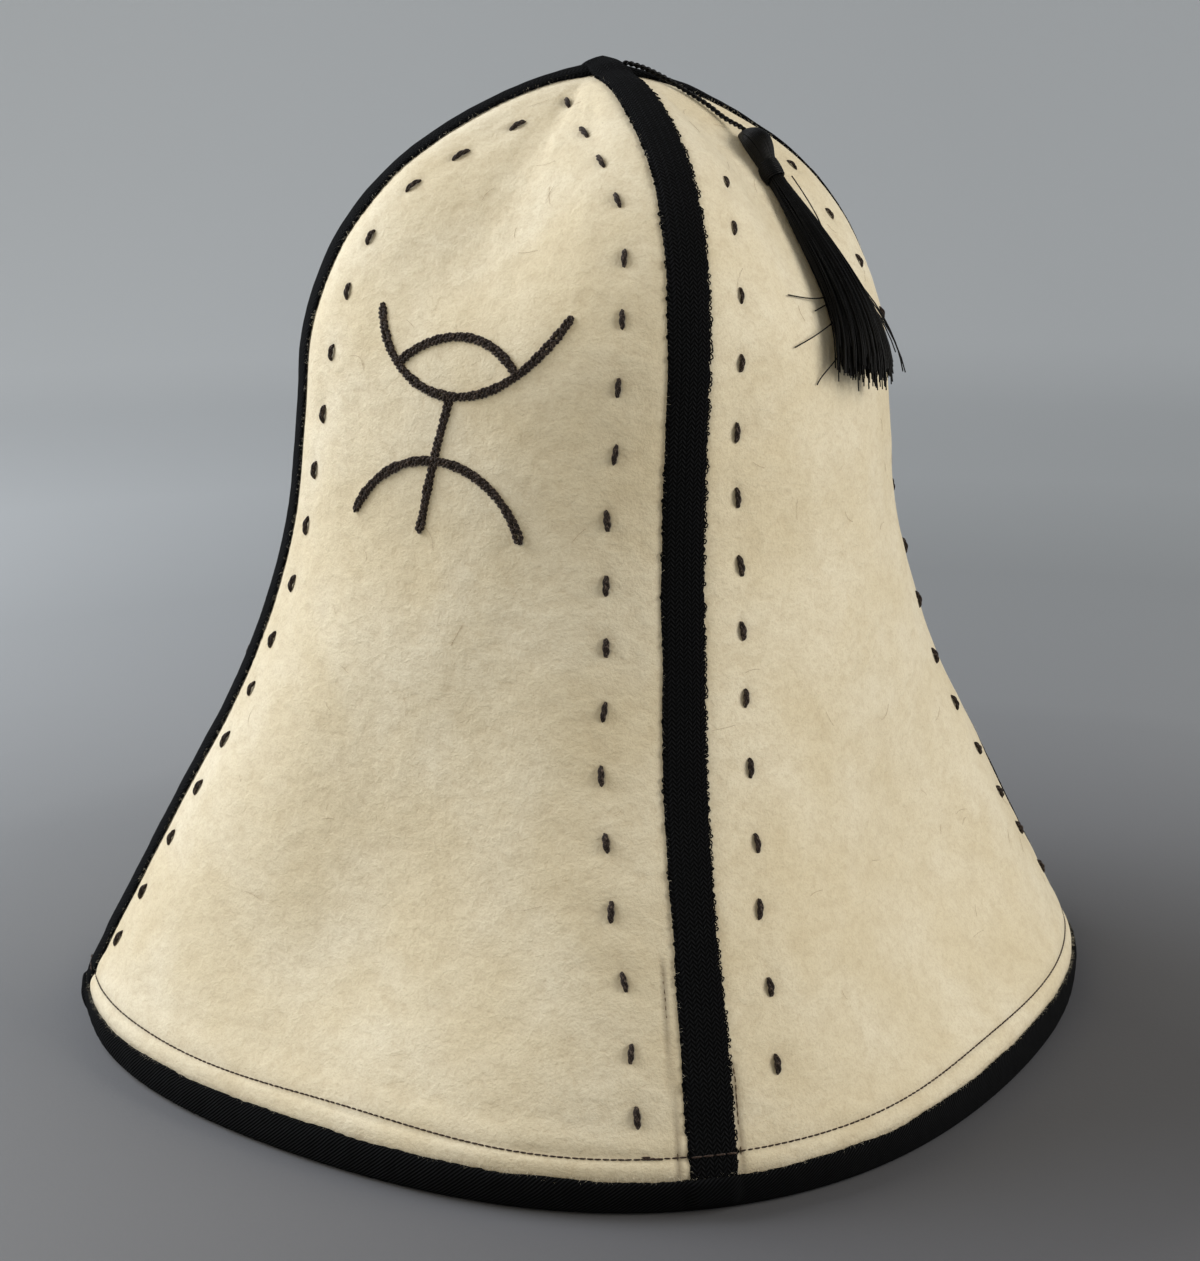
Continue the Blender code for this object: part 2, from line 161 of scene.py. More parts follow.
# Loose threads left of it and along its upper edge, in the photograph's pixels
STRAY_PIXELS = [
    [(846, 290), (832, 299), (812, 301), (786, 296)],
    [(838, 300), (826, 305), (813, 312)],
    [(838, 315), (822, 328), (806, 340), (793, 348)],
    [(836, 345), (826, 362), (820, 374), (815, 385)],
    [(783, 184), (798, 203), (815, 228), (828, 256), (838, 284)],
]


def smooth(knots, values, places):
    """Read a smooth curve through the values at the knots."""
    knots = np.asarray(knots, dtype=float)
    values = np.asarray(values, dtype=float)
    slopes = np.gradient(values, knots)
    cell = np.clip(np.searchsorted(knots, places, side="right") - 1, 0, len(knots) - 2)
    width = knots[cell + 1] - knots[cell]
    share = (places - knots[cell]) / width
    rest = 1 - share
    start = (1 + 2 * share) * rest**2 * values[cell] + share * rest**2 * width * slopes[cell]
    end = share**2 * (3 - 2 * share) * values[cell + 1] - share**2 * rest * width * slopes[cell + 1]
    return start + end


def ramp(value, low, high):
    """A soft step from 0 at low to 1 at high."""
    share = np.clip((value - low) / (high - low), 0.0, 1.0)
    return share * share * (3 - 2 * share)


def hump(value, middle, width):
    """A bump of height 1 at the middle."""
    return np.exp(-(((value - middle) / width) ** 2))


def unit(vectors):
    return vectors / np.maximum(np.linalg.norm(vectors, axis=-1, keepdims=True), 1e-12)


def travelled(line):
    """The way along a line to each of its points."""
    return np.concatenate([[0.0], np.cumsum(np.linalg.norm(np.diff(line, axis=0), axis=1))])


class Bell:
    """The outer face of the felt, as the part's source has it, for arrays of places."""

    SAMPLES = 2401

    def __init__(self):
        table = np.array(SECTIONS)
        self.tip = HAT_HEIGHT - 2 * (TAPE_THICKNESS + CLEARANCE)
        height = table[:, 0] * self.tip
        radius = NECK_RADIUS * table[:, 2] + (HEM_RADIUS - NECK_RADIUS) * table[:, 1]
        knots = np.concatenate([[0.0], np.cumsum(np.hypot(np.diff(height), np.diff(radius)))])
        places = np.linspace(0.0, knots[-1], self.SAMPLES)
        self.length = knots[-1]
        self.climb = places / self.length
        self.height = np.maximum.accumulate(smooth(knots, height, places))
        self.radius = np.maximum(smooth(knots, radius, places), 0.0)
        self.dish = smooth(knots, table[:, 3], places)
        self.twist = np.radians(smooth(knots, table[:, 4], places))

    def read(self, column, climb):
        return np.interp(climb, self.climb, column)

    def radius_at(self, turn, climb):
        dish = self.read(self.dish, climb)
        return self.read(self.radius, climb) * (1 - dish * (1 - np.cos(4 * turn)) / 2)

    def point(self, turn, climb):
        radius = self.radius_at(turn, climb)
        height = self.read(self.height, climb)
        angle = turn + self.read(self.twist, climb)
        reach = CROWN_LEAN * height / HAT_HEIGHT
        x = radius * np.sin(angle) + math.sin(LEAN_TURN) * reach
        y = -radius * np.cos(angle) - math.cos(LEAN_TURN) * reach
        return np.stack(np.broadcast_arrays(x, y, height), axis=-1)

    def outside(self, points):
        x, y, z = points[..., 0], points[..., 1], points[..., 2]
        climb = np.interp(z, self.height, self.climb)
        reach = CROWN_LEAN * z / HAT_HEIGHT
        level_x = x - math.sin(LEAN_TURN) * reach
        level_y = y + math.cos(LEAN_TURN) * reach
        turn = np.arctan2(level_x, -level_y) - self.read(self.twist, climb)
        wall = np.hypot(level_x, level_y) - self.radius_at(turn, climb)
        return np.where(z >= self.tip, np.hypot(x, y) + z - self.tip, wall)

    def normal(self, points, step=0.0004):
        rise = []
        for axis in np.eye(3) * step:
            rise.append(self.outside(points + axis) - self.outside(points - axis))
        return unit(np.stack(rise, axis=-1))

    def place(self, turn, climb, out=0.0):
        points = self.point(turn, climb)
        out = np.broadcast_to(out, points.shape[:-1])
        return points + self.normal(points) * out[..., None]

    def drop(self, points, direction, reach=0.02):
        """Where lines through the points, along the direction, meet the face."""
        low = np.full(points.shape[:-1], -reach)
        high = np.full(points.shape[:-1], reach)
        for _ in range(26):
            middle = (low + high) / 2
            over = self.outside(points + direction * middle[..., None]) > 0
            high = np.where(over, middle, high)
            low = np.where(over, low, middle)
        return points + direction * low[..., None]


BELL = Bell()

# The photograph's own view
VIEW_AZIMUTH = math.radians(-11.39)
VIEW_YAW = math.radians(-0.37)
VIEW_PITCH = math.radians(14.62)
VIEW_ROLL = math.radians(-0.27)
VIEW_DISTANCE = 2.2 * HAT_HEIGHT
VIEW_HEIGHT = 0.967 * HAT_HEIGHT
FOCAL_PIXELS = 2072
SENSOR_MM = 36.0
PHOTO_WIDTH, PHOTO_HEIGHT = 1200, 1261


def view_axes():
    """The camera's place and its right, up and ahead."""
    heading = VIEW_AZIMUTH + VIEW_YAW
    place = Vector((math.sin(VIEW_AZIMUTH) * VIEW_DISTANCE, -math.cos(VIEW_AZIMUTH) * VIEW_DISTANCE,
                    VIEW_HEIGHT))
    ahead = Vector((-math.sin(heading) * math.cos(VIEW_PITCH), math.cos(heading) * math.cos(VIEW_PITCH),
                    -math.sin(VIEW_PITCH)))
    level = ahead.cross(Vector((0, 0, 1))).normalized()
    above = level.cross(ahead)
    right = level * math.cos(VIEW_ROLL) + above * math.sin(VIEW_ROLL)
    up = above * math.cos(VIEW_ROLL) - level * math.sin(VIEW_ROLL)
    return place, right, up, ahead


def from_pixels(pixels):
    """The turn and climb of the places on the bell that the camera sees at some pixels."""
    place, right, up, ahead = (np.array(vector) for vector in view_axes())
    pixels = np.asarray(pixels, dtype=float)
    across = (pixels[:, :1] - PHOTO_WIDTH / 2) / FOCAL_PIXELS
    rise = (PHOTO_HEIGHT / 2 - pixels[:, 1:]) / FOCAL_PIXELS
    rays = ahead + across * right + rise * up
    reach = np.linspace(0.4, 0.9, 501)
    outside = BELL.outside(place + rays[:, None] * reach[:, None])
    first = np.argmax(outside <= 0, axis=1)
    rows = np.arange(len(pixels))
    before, after = outside[rows, first - 1], outside[rows, first]
    share = before / (before - after)
    hits = place + rays * (reach[first - 1] + share * (reach[1] - reach[0]))[:, None]
    climb = np.interp(hits[:, 2], BELL.height, BELL.climb)
    lean = CROWN_LEAN * hits[:, 2] / HAT_HEIGHT
    angle = np.arctan2(hits[:, 0] - math.sin(LEAN_TURN) * lean, -hits[:, 1] - math.cos(LEAN_TURN) * lean)
    return angle - BELL.read(BELL.twist, climb), climb


class Ripple:
    """A smooth random field over a face, made of a few plane waves for each length and height."""

    def __init__(self, seed, waves):
        chance = np.random.default_rng(seed)
        self.waves = []
        for length, height, count in waves:
            for _ in range(count):
                heading = chance.uniform(0, 2 * math.pi)
                turns = 2 * math.pi / (length * chance.uniform(0.7, 1.4))
                phase = chance.uniform(0, 2 * math.pi)
                self.waves.append((turns * math.cos(heading), turns * math.sin(heading), phase,
                                   height / math.sqrt(count)))

    def read(self, across, up):
        total = 0.0
        for side, rise, phase, height in self.waves:
            total = total + height * np.sin(across * side + up * rise + phase)
        return total


def grid_quads(rows, columns, flip=False):
    """The corners of each quad of a grid of points."""
    place = np.arange(rows * columns).reshape(rows, columns)
    ring = [place[:-1, :-1], place[1:, :-1], place[1:, 1:], place[:-1, 1:]]
    if flip:
        ring.reverse()
    return np.stack(ring, axis=-1).reshape(-1, 4)


class Cloth:
    """Gathers grids of points into one mesh, with a UV in metres and a painted shade at each point."""

    def __init__(self):
        self.points = []
        self.quads = []
        self.uvs = []
        self.painted_shades = []
        self.count = 0

    def grid(self, points, uv=None, tone=0.0, flip=False):
        rows, columns = points.shape[:2]
        self.quads.append(grid_quads(rows, columns, flip) + self.count)
        self.points.append(points.reshape(-1, 3))
        if uv is None:
            uv = (0.0, 0.0)
        u, v = uv
        flat_uv = np.stack([np.broadcast_to(u, (rows, columns)), np.broadcast_to(v, (rows, columns))], -1)
        self.uvs.append(flat_uv.reshape(-1, 2))
        self.painted_shades.append(np.broadcast_to(tone, (rows, columns)).reshape(-1))
        self.count += rows * columns

    def tube(self, line, up, size, sides=6, tone=0.0, offset=0.0, turns=None, flat=1.0):
        """A tube round a line, or one ply of a twist where offset and turns say how it winds."""
        line = np.asarray(line, dtype=float)
        ahead = unit(np.gradient(line, axis=0))
        side = unit(np.cross(ahead, np.broadcast_to(up, line.shape)))
        rise = np.cross(side, ahead)
        travel = travelled(line)
        size = np.broadcast_to(size, len(line))
        middle = line
        if turns is not None:
            reach = np.broadcast_to(offset, len(line))
            middle = line + side * (reach * np.cos(turns))[:, None]
            middle = middle + rise * (reach * flat * np.sin(turns))[:, None]
        around = np.linspace(0, 2 * math.pi, sides + 1)
        ring = np.cos(around)[None, :, None] * side[:, None, :]
        ring = ring + np.sin(around)[None, :, None] * flat * rise[:, None, :]
        points = middle[:, None, :] + ring * size[:, None, None]
        uv = (around[None, :] / (2 * math.pi), travel[:, None])
        self.grid(points, uv, tone)

    def twist(self, line, up, width, pitch, plies=2, taper=1.0, sides=6, tone=0.0, flat=1.0, start=0.0):
        """Plies wound round each other along a line, width across in all."""
        line = np.asarray(line, dtype=float)
        travel = travelled(line)
        taper = np.broadcast_to(taper, len(line))
        thick = width * (0.29 if plies == 2 else 0.25)
        for ply in range(plies):
            turns = start + 2 * math.pi * (travel / pitch + ply / plies)
            reach = (width / 2 - thick) * taper
            self.tube(line, up, thick * taper, sides, tone, reach, turns, flat)

    def make(self, name, paint, replaces=()):
        quads = np.concatenate(self.quads)
        corners = quads.ravel().astype(np.int32)
        mesh = bpy.data.meshes.new(name)
        mesh.vertices.add(self.count)
        mesh.vertices.foreach_set("co", np.concatenate(self.points).astype(np.float32).ravel())
        mesh.loops.add(len(corners))
        mesh.loops.foreach_set("vertex_index", corners)
        mesh.polygons.add(len(quads))
        mesh.polygons.foreach_set("loop_start", np.arange(0, len(corners), 4, dtype=np.int32))
        mesh.update(calc_edges=True)
        layer = mesh.uv_layers.new(name="cloth")
        layer.data.foreach_set("uv", np.concatenate(self.uvs)[corners].astype(np.float32).ravel())
        tone = mesh.attributes.new("tone", "FLOAT", "POINT")
        # The painted shade at each point, which the felt's material darkens by; other meshes carry none
        tone.data.foreach_set("value", np.concatenate(self.painted_shades).astype(np.float32))
        mesh.shade_smooth()
        mesh.materials.append(paint)
        thing = bpy.data.objects.new(name, mesh)
        bpy.context.scene.collection.objects.link(thing)
        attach(thing, "root")
        if replaces:
            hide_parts(*replaces)
        return thing


class Paint:
    """A Principled material whose nodes are added one by one."""

    def __init__(self, name, **sockets):
        self.material = bpy.data.materials.new(name)
        self.material.use_nodes = True
        self.tree = self.material.node_tree
        self.shader = self.tree.nodes["Principled BSDF"]
        for socket, value in sockets.items():
            self.shader.inputs[socket.replace("_", " ")].default_value = value

    def feed(self, socket, value):
        if isinstance(value, bpy.types.NodeSocket):
            self.tree.links.new(value, socket)
        else:
            socket.default_value = value

    def add(self, kind, inputs, **settings):
        node = self.tree.nodes.new(kind)
        for name, value in settings.items():
            setattr(node, name, value)
        for place, value in inputs.items():
            self.feed(node.inputs[place], value)
        return node

    def where(self):
        return self.add("ShaderNodeTexCoord", {}).outputs["Object"]

    def across_and_along(self):
        uv = self.add("ShaderNodeUVMap", {}, uv_map="cloth").outputs["UV"]
        split = self.add("ShaderNodeSeparateXYZ", {0: uv})
        return split.outputs["X"], split.outputs["Y"]

    # Reads the per-point painted shade
    def tone(self):
        return self.add("ShaderNodeAttribute", {}, attribute_name="tone").outputs["Fac"]

    def stretched(self, where, turn, size):
        return self.add("ShaderNodeMapping", {"Vector": where, "Rotation": turn, "Scale": size}).outputs[0]

    def noise(self, where, scale, detail=2.0, rough=0.5, distortion=0.0):
        inputs = {"Vector": where, "Scale": scale, "Detail": detail, "Roughness": rough,
                  "Distortion": distortion}
        return self.add("ShaderNodeTexNoise", inputs).outputs["Fac"]

    def math(self, operation, first, second=0.0):
        return self.add("ShaderNodeMath", {0: first, 1: second}, operation=operation).outputs[0]

    def times(self, first, second):
        return self.math("MULTIPLY", first, second)

    def plus(self, first, second):
        return self.math("ADD", first, second)

    def spread(self, value, low, high, to_low=0.0, to_high=1.0):
        """Maps low..high to to_low..to_high, held at the ends."""
        inputs = {"Value": value, "From Min": low, "From Max": high, "To Min": to_low, "To Max": to_high}
        return self.add("ShaderNodeMapRange", inputs, clamp=True).outputs[0]

    def mix(self, share, first, second, blend="MIX"):
        node = self.add("ShaderNodeMix", {0: share}, data_type="RGBA", blend_type=blend)
        self.feed(node.inputs[6], first)
        self.feed(node.inputs[7], second)
        return node.outputs[2]

    def bump(self, height, distance, strength=1.0, under=None):
        inputs = {"Height": height, "Distance": distance, "Strength": strength}
        if under is not None:
            inputs["Normal"] = under
        return self.add("ShaderNodeBump", inputs).outputs[0]

    def finish(self, color, normal=None, roughness=None):
        self.feed(self.shader.inputs["Base Color"], color)
        if normal is not None:
            self.feed(self.shader.inputs["Normal"], normal)
        if roughness is not None:
            self.feed(self.shader.inputs["Roughness"], roughness)
        return self.material


def felt_paint():
    """Cream wool felt: cloudy mottling, soft tufts, a fine nap and painted shade by stitches, tapes and hem.
    """
    paint = Paint("cream_wool_felt", Roughness=0.95, Sheen_Weight=0.20, Sheen_Roughness=0.55,
                  Sheen_Tint=(1.0, 0.94, 0.82, 1.0), Specular_IOR_Level=0.10)
    where = paint.where()
    clouds = paint.noise(where, 26.0, 2.0, 0.5, 0.3)
    lumps = paint.noise(paint.stretched(where, (0.2, 0.1, 0.3), (1.0, 1.0, 1.5)), 120.0, 2.0, 0.5, 0.3)
    tufts = paint.noise(paint.stretched(where, (0.5, 0.3, 0.1), (1.0, 1.0, 1.3)), 330.0, 3.0, 0.6, 0.5)
    nap = paint.noise(where, 1300.0, 2.0, 0.7)
    strand = paint.noise(paint.stretched(where, (0.9, 0.2, 1.7), (1.0, 5.0, 5.0)), 300.0, 2.0, 0.6, 1.6)
    color = paint.mix(paint.spread(clouds, 0.35, 0.65), (0.800, 0.700, 0.495, 1), (0.875, 0.792, 0.605, 1))
    color = paint.mix(paint.spread(lumps, 0.55, 0.34, 0.0, 0.16), color, (0.560, 0.445, 0.280, 1))
    color = paint.mix(paint.spread(tufts, 0.54, 0.32, 0.0, 0.22), color, (0.540, 0.425, 0.265, 1))
    color = paint.mix(paint.spread(strand, 0.58, 0.74, 0.0, 0.12), color, (0.540, 0.425, 0.265, 1))
    color = paint.mix(paint.spread(nap, 0.56, 0.36, 0.0, 0.22), color, (0.520, 0.405, 0.250, 1))
    # Painted shade: the felt darkens towards deep brown by its stitches, tape edges, hem binding and grooves
    color = paint.mix(paint.tone(), color, (0.140, 0.095, 0.062, 1))
    height = paint.times(lumps, 0.50)
    height = paint.plus(height, paint.times(tufts, 0.30))
    height = paint.plus(height, paint.times(nap, 0.17))
    return paint.finish(color, paint.bump(height, 0.001))


def fibre_paint(name, color):
    """Loose felt fibres."""
    paint = Paint(name, Roughness=0.85, Sheen_Weight=0.3, Specular_IOR_Level=0.2)
    varied = paint.noise(paint.where(), 300.0, 2.0)
    dark = tuple(share * 0.72 for share in color)
    return paint.finish(paint.mix(varied, (*dark, 1), (*color, 1)))


def tape_paint(name, column):
    """Near-black cotton twill, with the tape's width across and its way along in its UV. Its ribs turn
    back at every column of that width, as herringbone does, or run on where there is none."""
    paint = Paint(name, Roughness=0.85, Specular_IOR_Level=0.05)
    across, along = paint.across_and_along()
    where = paint.where()
    folded = paint.math("PINGPONG", across, column) if column else across
    slant = paint.plus(along, paint.times(folded, 1.25))
    wave = paint.math("SINE", paint.times(slant, 2 * math.pi / TWILL_PITCH))
    weave = paint.spread(wave, -1.0, 1.0)
    if column:
        rib = paint.math("ABSOLUTE", paint.math("SINE", paint.times(across, math.pi / column)))
        weave = paint.times(weave, paint.math("POWER", rib, 0.35))
    fluff = paint.noise(where, 1500.0, 3.0, 0.6, 1.0)
    cloud = paint.noise(where, 90.0, 2.0)
    color = paint.mix(weave, (0.0003, 0.0003, 0.0004, 1), (0.0125, 0.0130, 0.0145, 1))
    color = paint.mix(paint.spread(cloud, 0.35, 0.65, 0.0, 0.3), color, (0.0040, 0.0043, 0.0048, 1))
    color = paint.mix(paint.spread(fluff, 0.66, 0.80, 0.0, 0.45), color, (0.034, 0.035, 0.037, 1))
    normal = paint.bump(weave, 0.00045, 1.0)
    return paint.finish(color, normal)


def yarn_paint(name, low, high, glint):
    """Spun yarn: fine fibres that wind round the ply, with the turn across and the way along in its UV."""
    paint = Paint(name, Roughness=0.8, Sheen_Weight=0.16, Sheen_Roughness=0.5,
                  Sheen_Tint=(0.9, 0.8, 0.75, 1.0), Specular_IOR_Level=0.2)
    across, along = paint.across_and_along()
    where = paint.where()
    fuzz = paint.noise(where, 1500.0, 3.0, 0.6, 0.8)
    winding = paint.plus(paint.times(across, 4.0), paint.times(along, 1500.0))
    winding = paint.plus(winding, paint.times(fuzz, 1.2))
    wave = paint.math("SINE", paint.times(winding, 2 * math.pi))
    fibre = paint.spread(wave, -1.0, 1.0)
    color = paint.mix(fibre, (*low, 1), (*high, 1))
    color = paint.mix(paint.spread(fuzz, 0.53, 0.68, 0.0, 0.9), color, (*glint, 1))
    normal = paint.bump(fibre, 0.00010, 0.7)
    normal = paint.bump(fuzz, 0.00012, 0.5, normal)
    return paint.finish(color, normal)


def rayon_paint():
    """Black floss with a soft gloss."""
    paint = Paint("black_rayon_floss", Roughness=0.38, Specular_IOR_Level=0.13)
    across, along = paint.across_and_along()
    where = paint.where()
    varied = paint.noise(where, 420.0, 2.0)
    winding = paint.plus(paint.times(across, 3.0), paint.times(along, 900.0))
    wave = paint.spread(paint.math("SINE", paint.times(winding, 2 * math.pi)), -1.0, 1.0)
    color = paint.mix(varied, (0.0012, 0.0012, 0.0014, 1), (0.0046, 0.0046, 0.0050, 1))
    roughness = paint.spread(varied, 0.3, 0.7, 0.32, 0.48)
    return paint.finish(color, paint.bump(wave, 0.00006, 0.5), roughness)


def backdrop_paint():
    """A plain pale blue-grey sweep with painted shade: darker by the hat and a little darker to its right.
    Farther out it glows faintly, a painted light as of a lit studio wall, a little more on its left."""
    paint = Paint("pale_sweep", Roughness=0.95, Specular_IOR_Level=0.1)
    where = paint.where()
    split = paint.add("ShaderNodeSeparateXYZ", {0: where})
    east = paint.math("SUBTRACT", split.outputs["X"], 0.08)
    north = paint.plus(split.outputs["Y"], 0.12)
    reach = paint.plus(paint.times(east, east), paint.times(north, north))
    reach = paint.math("SQRT", reach)
    grain = paint.noise(where, 700.0, 2.0)
    # Painted shade: the floor darkens towards the hat
    near = paint.mix(paint.spread(reach, 0.10, 0.45), (0.122, 0.123, 0.134, 1), (0.272, 0.280, 0.292, 1))
    color = paint.mix(paint.spread(reach, 0.42, 1.10), near, (0.440, 0.457, 0.470, 1))
    # Painted shade: the sweep darkens a little towards its right
    color = paint.mix(paint.spread(split.outputs["X"], -0.9, 0.9, 0.0, 0.16), color, (0.0, 0.0, 0.0, 1))
    # Painted light: a faint glow that grows outwards, a little stronger on the left
    glow = paint.spread(split.outputs["X"], -0.9, 0.9, 0.215, 0.165)
    glow = paint.times(glow, paint.spread(reach, 0.75, 1.8))
    paint.shader.inputs["Emission Color"].default_value = (0.93, 0.97, 1.0, 1.0)
    paint.feed(paint.shader.inputs["Emission Strength"], glow)
    paint.material.cycles.emission_sampling = "NONE"
    return paint.finish(color, paint.bump(grain, 0.0003, 0.2))


def seen_places(pixels, seed):
    """The turn and climb of each stitch of a row in the photograph, and its lean from straight up."""
    turn, climb = from_pixels(pixels)
    slope = np.gradient(turn, climb * BELL.length) * BELL.radius_at(turn, climb)
    return turn, climb, slope + np.random.default_rng(seed).uniform(-0.16, 0.16, len(turn))


def row_places(row):
    """The same for a row that the photograph shows only in part, or not at all."""
    ways = np.linspace(row.first, row.last, 400)
    knots = np.array(row.way_and_offset, dtype=float)
    offset = smooth(knots[:, 0], knots[:, 1], ways) * MM * row.side
    climb = ways * MM / BELL.length
    seam = math.radians(row.seam_degrees)
    turn = seam + offset / BELL.radius_at(seam, climb)
    turn = seam + offset / BELL.radius_at((seam + turn) / 2, climb)
    travel = travelled(BELL.point(turn, climb))
    chance = np.random.default_rng(int(row.seam_degrees + 500 + row.side))
    marks = np.linspace(0, travel[-1], row.count)
    marks[1:-1] += chance.uniform(-0.0011, 0.0011, row.count - 2)
    sideways = np.gradient(turn, travel) * BELL.radius_at(turn, climb)
    lean = np.interp(marks, travel, sideways) + chance.uniform(-0.16, 0.16, row.count)
    return np.interp(marks, travel, turn), np.interp(marks, travel, climb), lean


ROWS = [seen_places(LEFT_ROW_PIXELS, 1), seen_places(RIGHT_ROW_PIXELS, 2)]
ROWS += [row_places(row) for row in STITCH_ROWS]
STITCHES = np.concatenate([np.stack(row, axis=-1) for row in ROWS])

# Fine lines of stitching beside the front tape near the hem: offset from the seam, first and last up
EdgeLine = namedtuple("EdgeLine", "offset first last")
EDGE_LINES = [EdgeLine(-0.0103, 0.0115, 0.070), EdgeLine(0.0083, 0.0115, 0.040)]

QUARTER = math.pi / 2


def nearest_seam(turn):
    return np.round(turn / QUARTER) * QUARTER


WAVES = Ripple(4, [(0.085, 0.00034, 5), (0.040, 0.00020, 6), (0.016, 0.00008, 7), (0.0085, 0.00004, 8)])


def felt_waves(turn, climb):
    """How far the felt stands out from the bell's face, away from its seams and stitches."""
    up = climb * BELL.length
    radius = BELL.radius_at(turn, climb)
    off = np.abs(turn - nearest_seam(turn)) * radius
    free = ramp(off, 0.0065, 0.016) * ramp(up, 0.011, 0.024) * ramp(1 - climb, 0.02, 0.12)
    by_tassel = hump(turn, 0.9, 0.35) * ramp(climb, 0.50, 0.62)
    return WAVES.read(turn * 0.11, up) * free * (1 - by_tassel)


def on_felt(turn, climb, across, up, out):
    """Places near one of the bell's, at some distance across and up, that follow the felt's waves."""
    there = climb + up / BELL.length
    around = turn + across / BELL.radius_at(turn, there)
    return BELL.place(around, there, out + felt_waves(around, there))


def felt_relief(turn, climb):
    """How far the felt stands out from the bell's face, and how much painted shade darkens it there."""
    up = climb * BELL.length
    radius = BELL.radius_at(turn, climb)
    seam = nearest_seam(turn)
    signed = (turn - seam) * radius
    off = np.abs(signed)
    relief = felt_waves(turn, climb)
    tone = np.zeros_like(relief)
    for stitch_turn, stitch_climb, lean in STITCHES:
        apart = (turn - stitch_turn + math.pi) % (2 * math.pi) - math.pi
        rise = (climb - stitch_climb) * BELL.length
        side = apart * radius - lean * rise
        close = (np.abs(apart * radius) < 0.03) & (np.abs(rise) < 0.03)
        if not close.any():
            continue
        side, rise = side[close], rise[close]
        pinch = np.exp(-((side / 0.0019) ** 2) - (rise / 0.0036) ** 4)
        pucker = np.exp(-((side / 0.0062) ** 2) - (rise / 0.0075) ** 2)
        relief[close] -= 0.00050 * pinch + 0.00032 * pucker
        # Painted shade in the pinched dimple along each stitch, and faintly over its pucker
        tone[close] += 0.18 * np.exp(-((side / 0.0013) ** 2) - (rise / 0.0036) ** 4)
        tone[close] += 0.02 * pucker
    relief -= 0.00045 * hump(up, TOPSTITCH_UP, 0.0012)
    relief += 0.00045 * hump(up, 0.0138, 0.0021)
    relief += 0.00030 * hump(up, 0.0212, 0.0030)
    # Painted shade along the topstitch's groove and under the binding's upper edge
    tone += 0.16 * hump(up, TOPSTITCH_UP, 0.0007)
    tone += 0.25 * hump(up, BINDING_HEIGHT + 0.0003, 0.0007)
    edge = TAPE_WIDTH / 2
    relief -= 0.00025 * hump(off, edge, 0.0012)
    relief += 0.00020 * hump(off, edge + 0.0040, 0.0030)
    # Painted shade along the tapes' edges
    tone += 0.22 * hump(off, edge + 0.0002, 0.0006)
    front = np.abs(seam) < 0.1
    for line in EDGE_LINES:
        inside = front * ramp(up, line.first - 0.001, line.first) * ramp(-up, -line.last - 0.004, -line.last)
        groove = hump(signed, line.offset, 0.0007) * inside
        relief -= 0.00045 * groove
        # Painted shade in the groove where each fine stitch line sinks in
        tone += 0.55 * groove
    covered = (off < edge + 0.0003) | (up < BINDING_HEIGHT + 0.0004)
    relief = np.where(covered, np.minimum(relief, -0.00005), relief)
    return relief, np.clip(tone, 0.0, 0.75)


def add_gore(name, middle_degrees, paint):
    """One felt gore: a fine outer face, a coarser inner one and the cut edges between them."""
    first = 0.0014 / BELL.length
    bend = 0.030 / BELL.length
    last = 1 - TIP_OPENING / BELL.length
    climb = np.concatenate([np.linspace(first, bend, 33), np.linspace(bend, last, GORE_ROWS)[1:]])[:, None]
    shares = np.linspace(-1, 1, GORE_COLUMNS)[None, :]
    shares = shares * (1.22 - 0.22 * shares**2)
    middle = math.radians(middle_degrees)
    half = math.radians(45) - SEAM_GAP / 2 / np.maximum(BELL.read(BELL.radius, climb), 0.001)
    turn = middle + shares * half
    climb = np.broadcast_to(climb, turn.shape)
    relief, tone = felt_relief(turn, climb)
    cloth = Cloth()
    outer = BELL.place(turn, climb, relief)
    cloth.grid(outer, (turn * 0.1, climb * BELL.length), tone, flip=True)
    wave = Ripple(21, [(0.05, 0.0002, 5)]).read(turn * 0.1, climb * BELL.length)
    inner = BELL.place(turn, climb, -FELT_THICKNESS + wave)
    cloth.grid(inner[::2, ::2], (turn[::2, ::2] * 0.1, climb[::2, ::2] * BELL.length))
    for edge, flip in ((0, True), (-1, False)):
        cloth.grid(np.stack([outer[:, edge], inner[:, edge]], axis=1), flip=flip)
        cloth.grid(np.stack([outer[edge], inner[edge]], axis=1), flip=not flip)
    return cloth.make(name.replace("gore", "felt"), paint, [name])


def crossing_lift(way):
    """How far the upper tape rises over the lower one near the tip."""
    share = np.clip((TAPE_WIDTH / 2 + TAPE_RAMP - np.abs(way)) / TAPE_RAMP, 0.0, 1.0)
    return (TAPE_THICKNESS + CLEARANCE) * share * share * (3 - 2 * share)


def on_tape(seam, way, across, out):
    """A point over a seam: way is the distance past the tip, negative on the seam's own side."""
    way, across, out = np.broadcast_arrays(way, across, out)
    climb = 1 - np.abs(way) / BELL.length
    turn = np.where(way <= 0, seam, seam + math.pi)
    middle = BELL.point(turn, climb)
    angle = seam + BELL.read(BELL.twist, climb)
    sideways = np.stack([np.cos(angle), np.sin(angle), np.zeros_like(angle)], axis=-1)
    edge = middle + sideways * across[..., None]
    foot = BELL.drop(edge, BELL.normal(middle))
    return foot + BELL.normal(foot) * out[..., None]


TapeLook = namedtuple("TapeLook", "name seam_degrees lifted seed left_wear right_wear")
TAPES = [
    TapeLook("seam_tape_side", -90, False, 31, 0.00022, 0.00022),
    TapeLook("seam_tape_front_back", 0, True, 32, 0.00010, 0.00026),
]


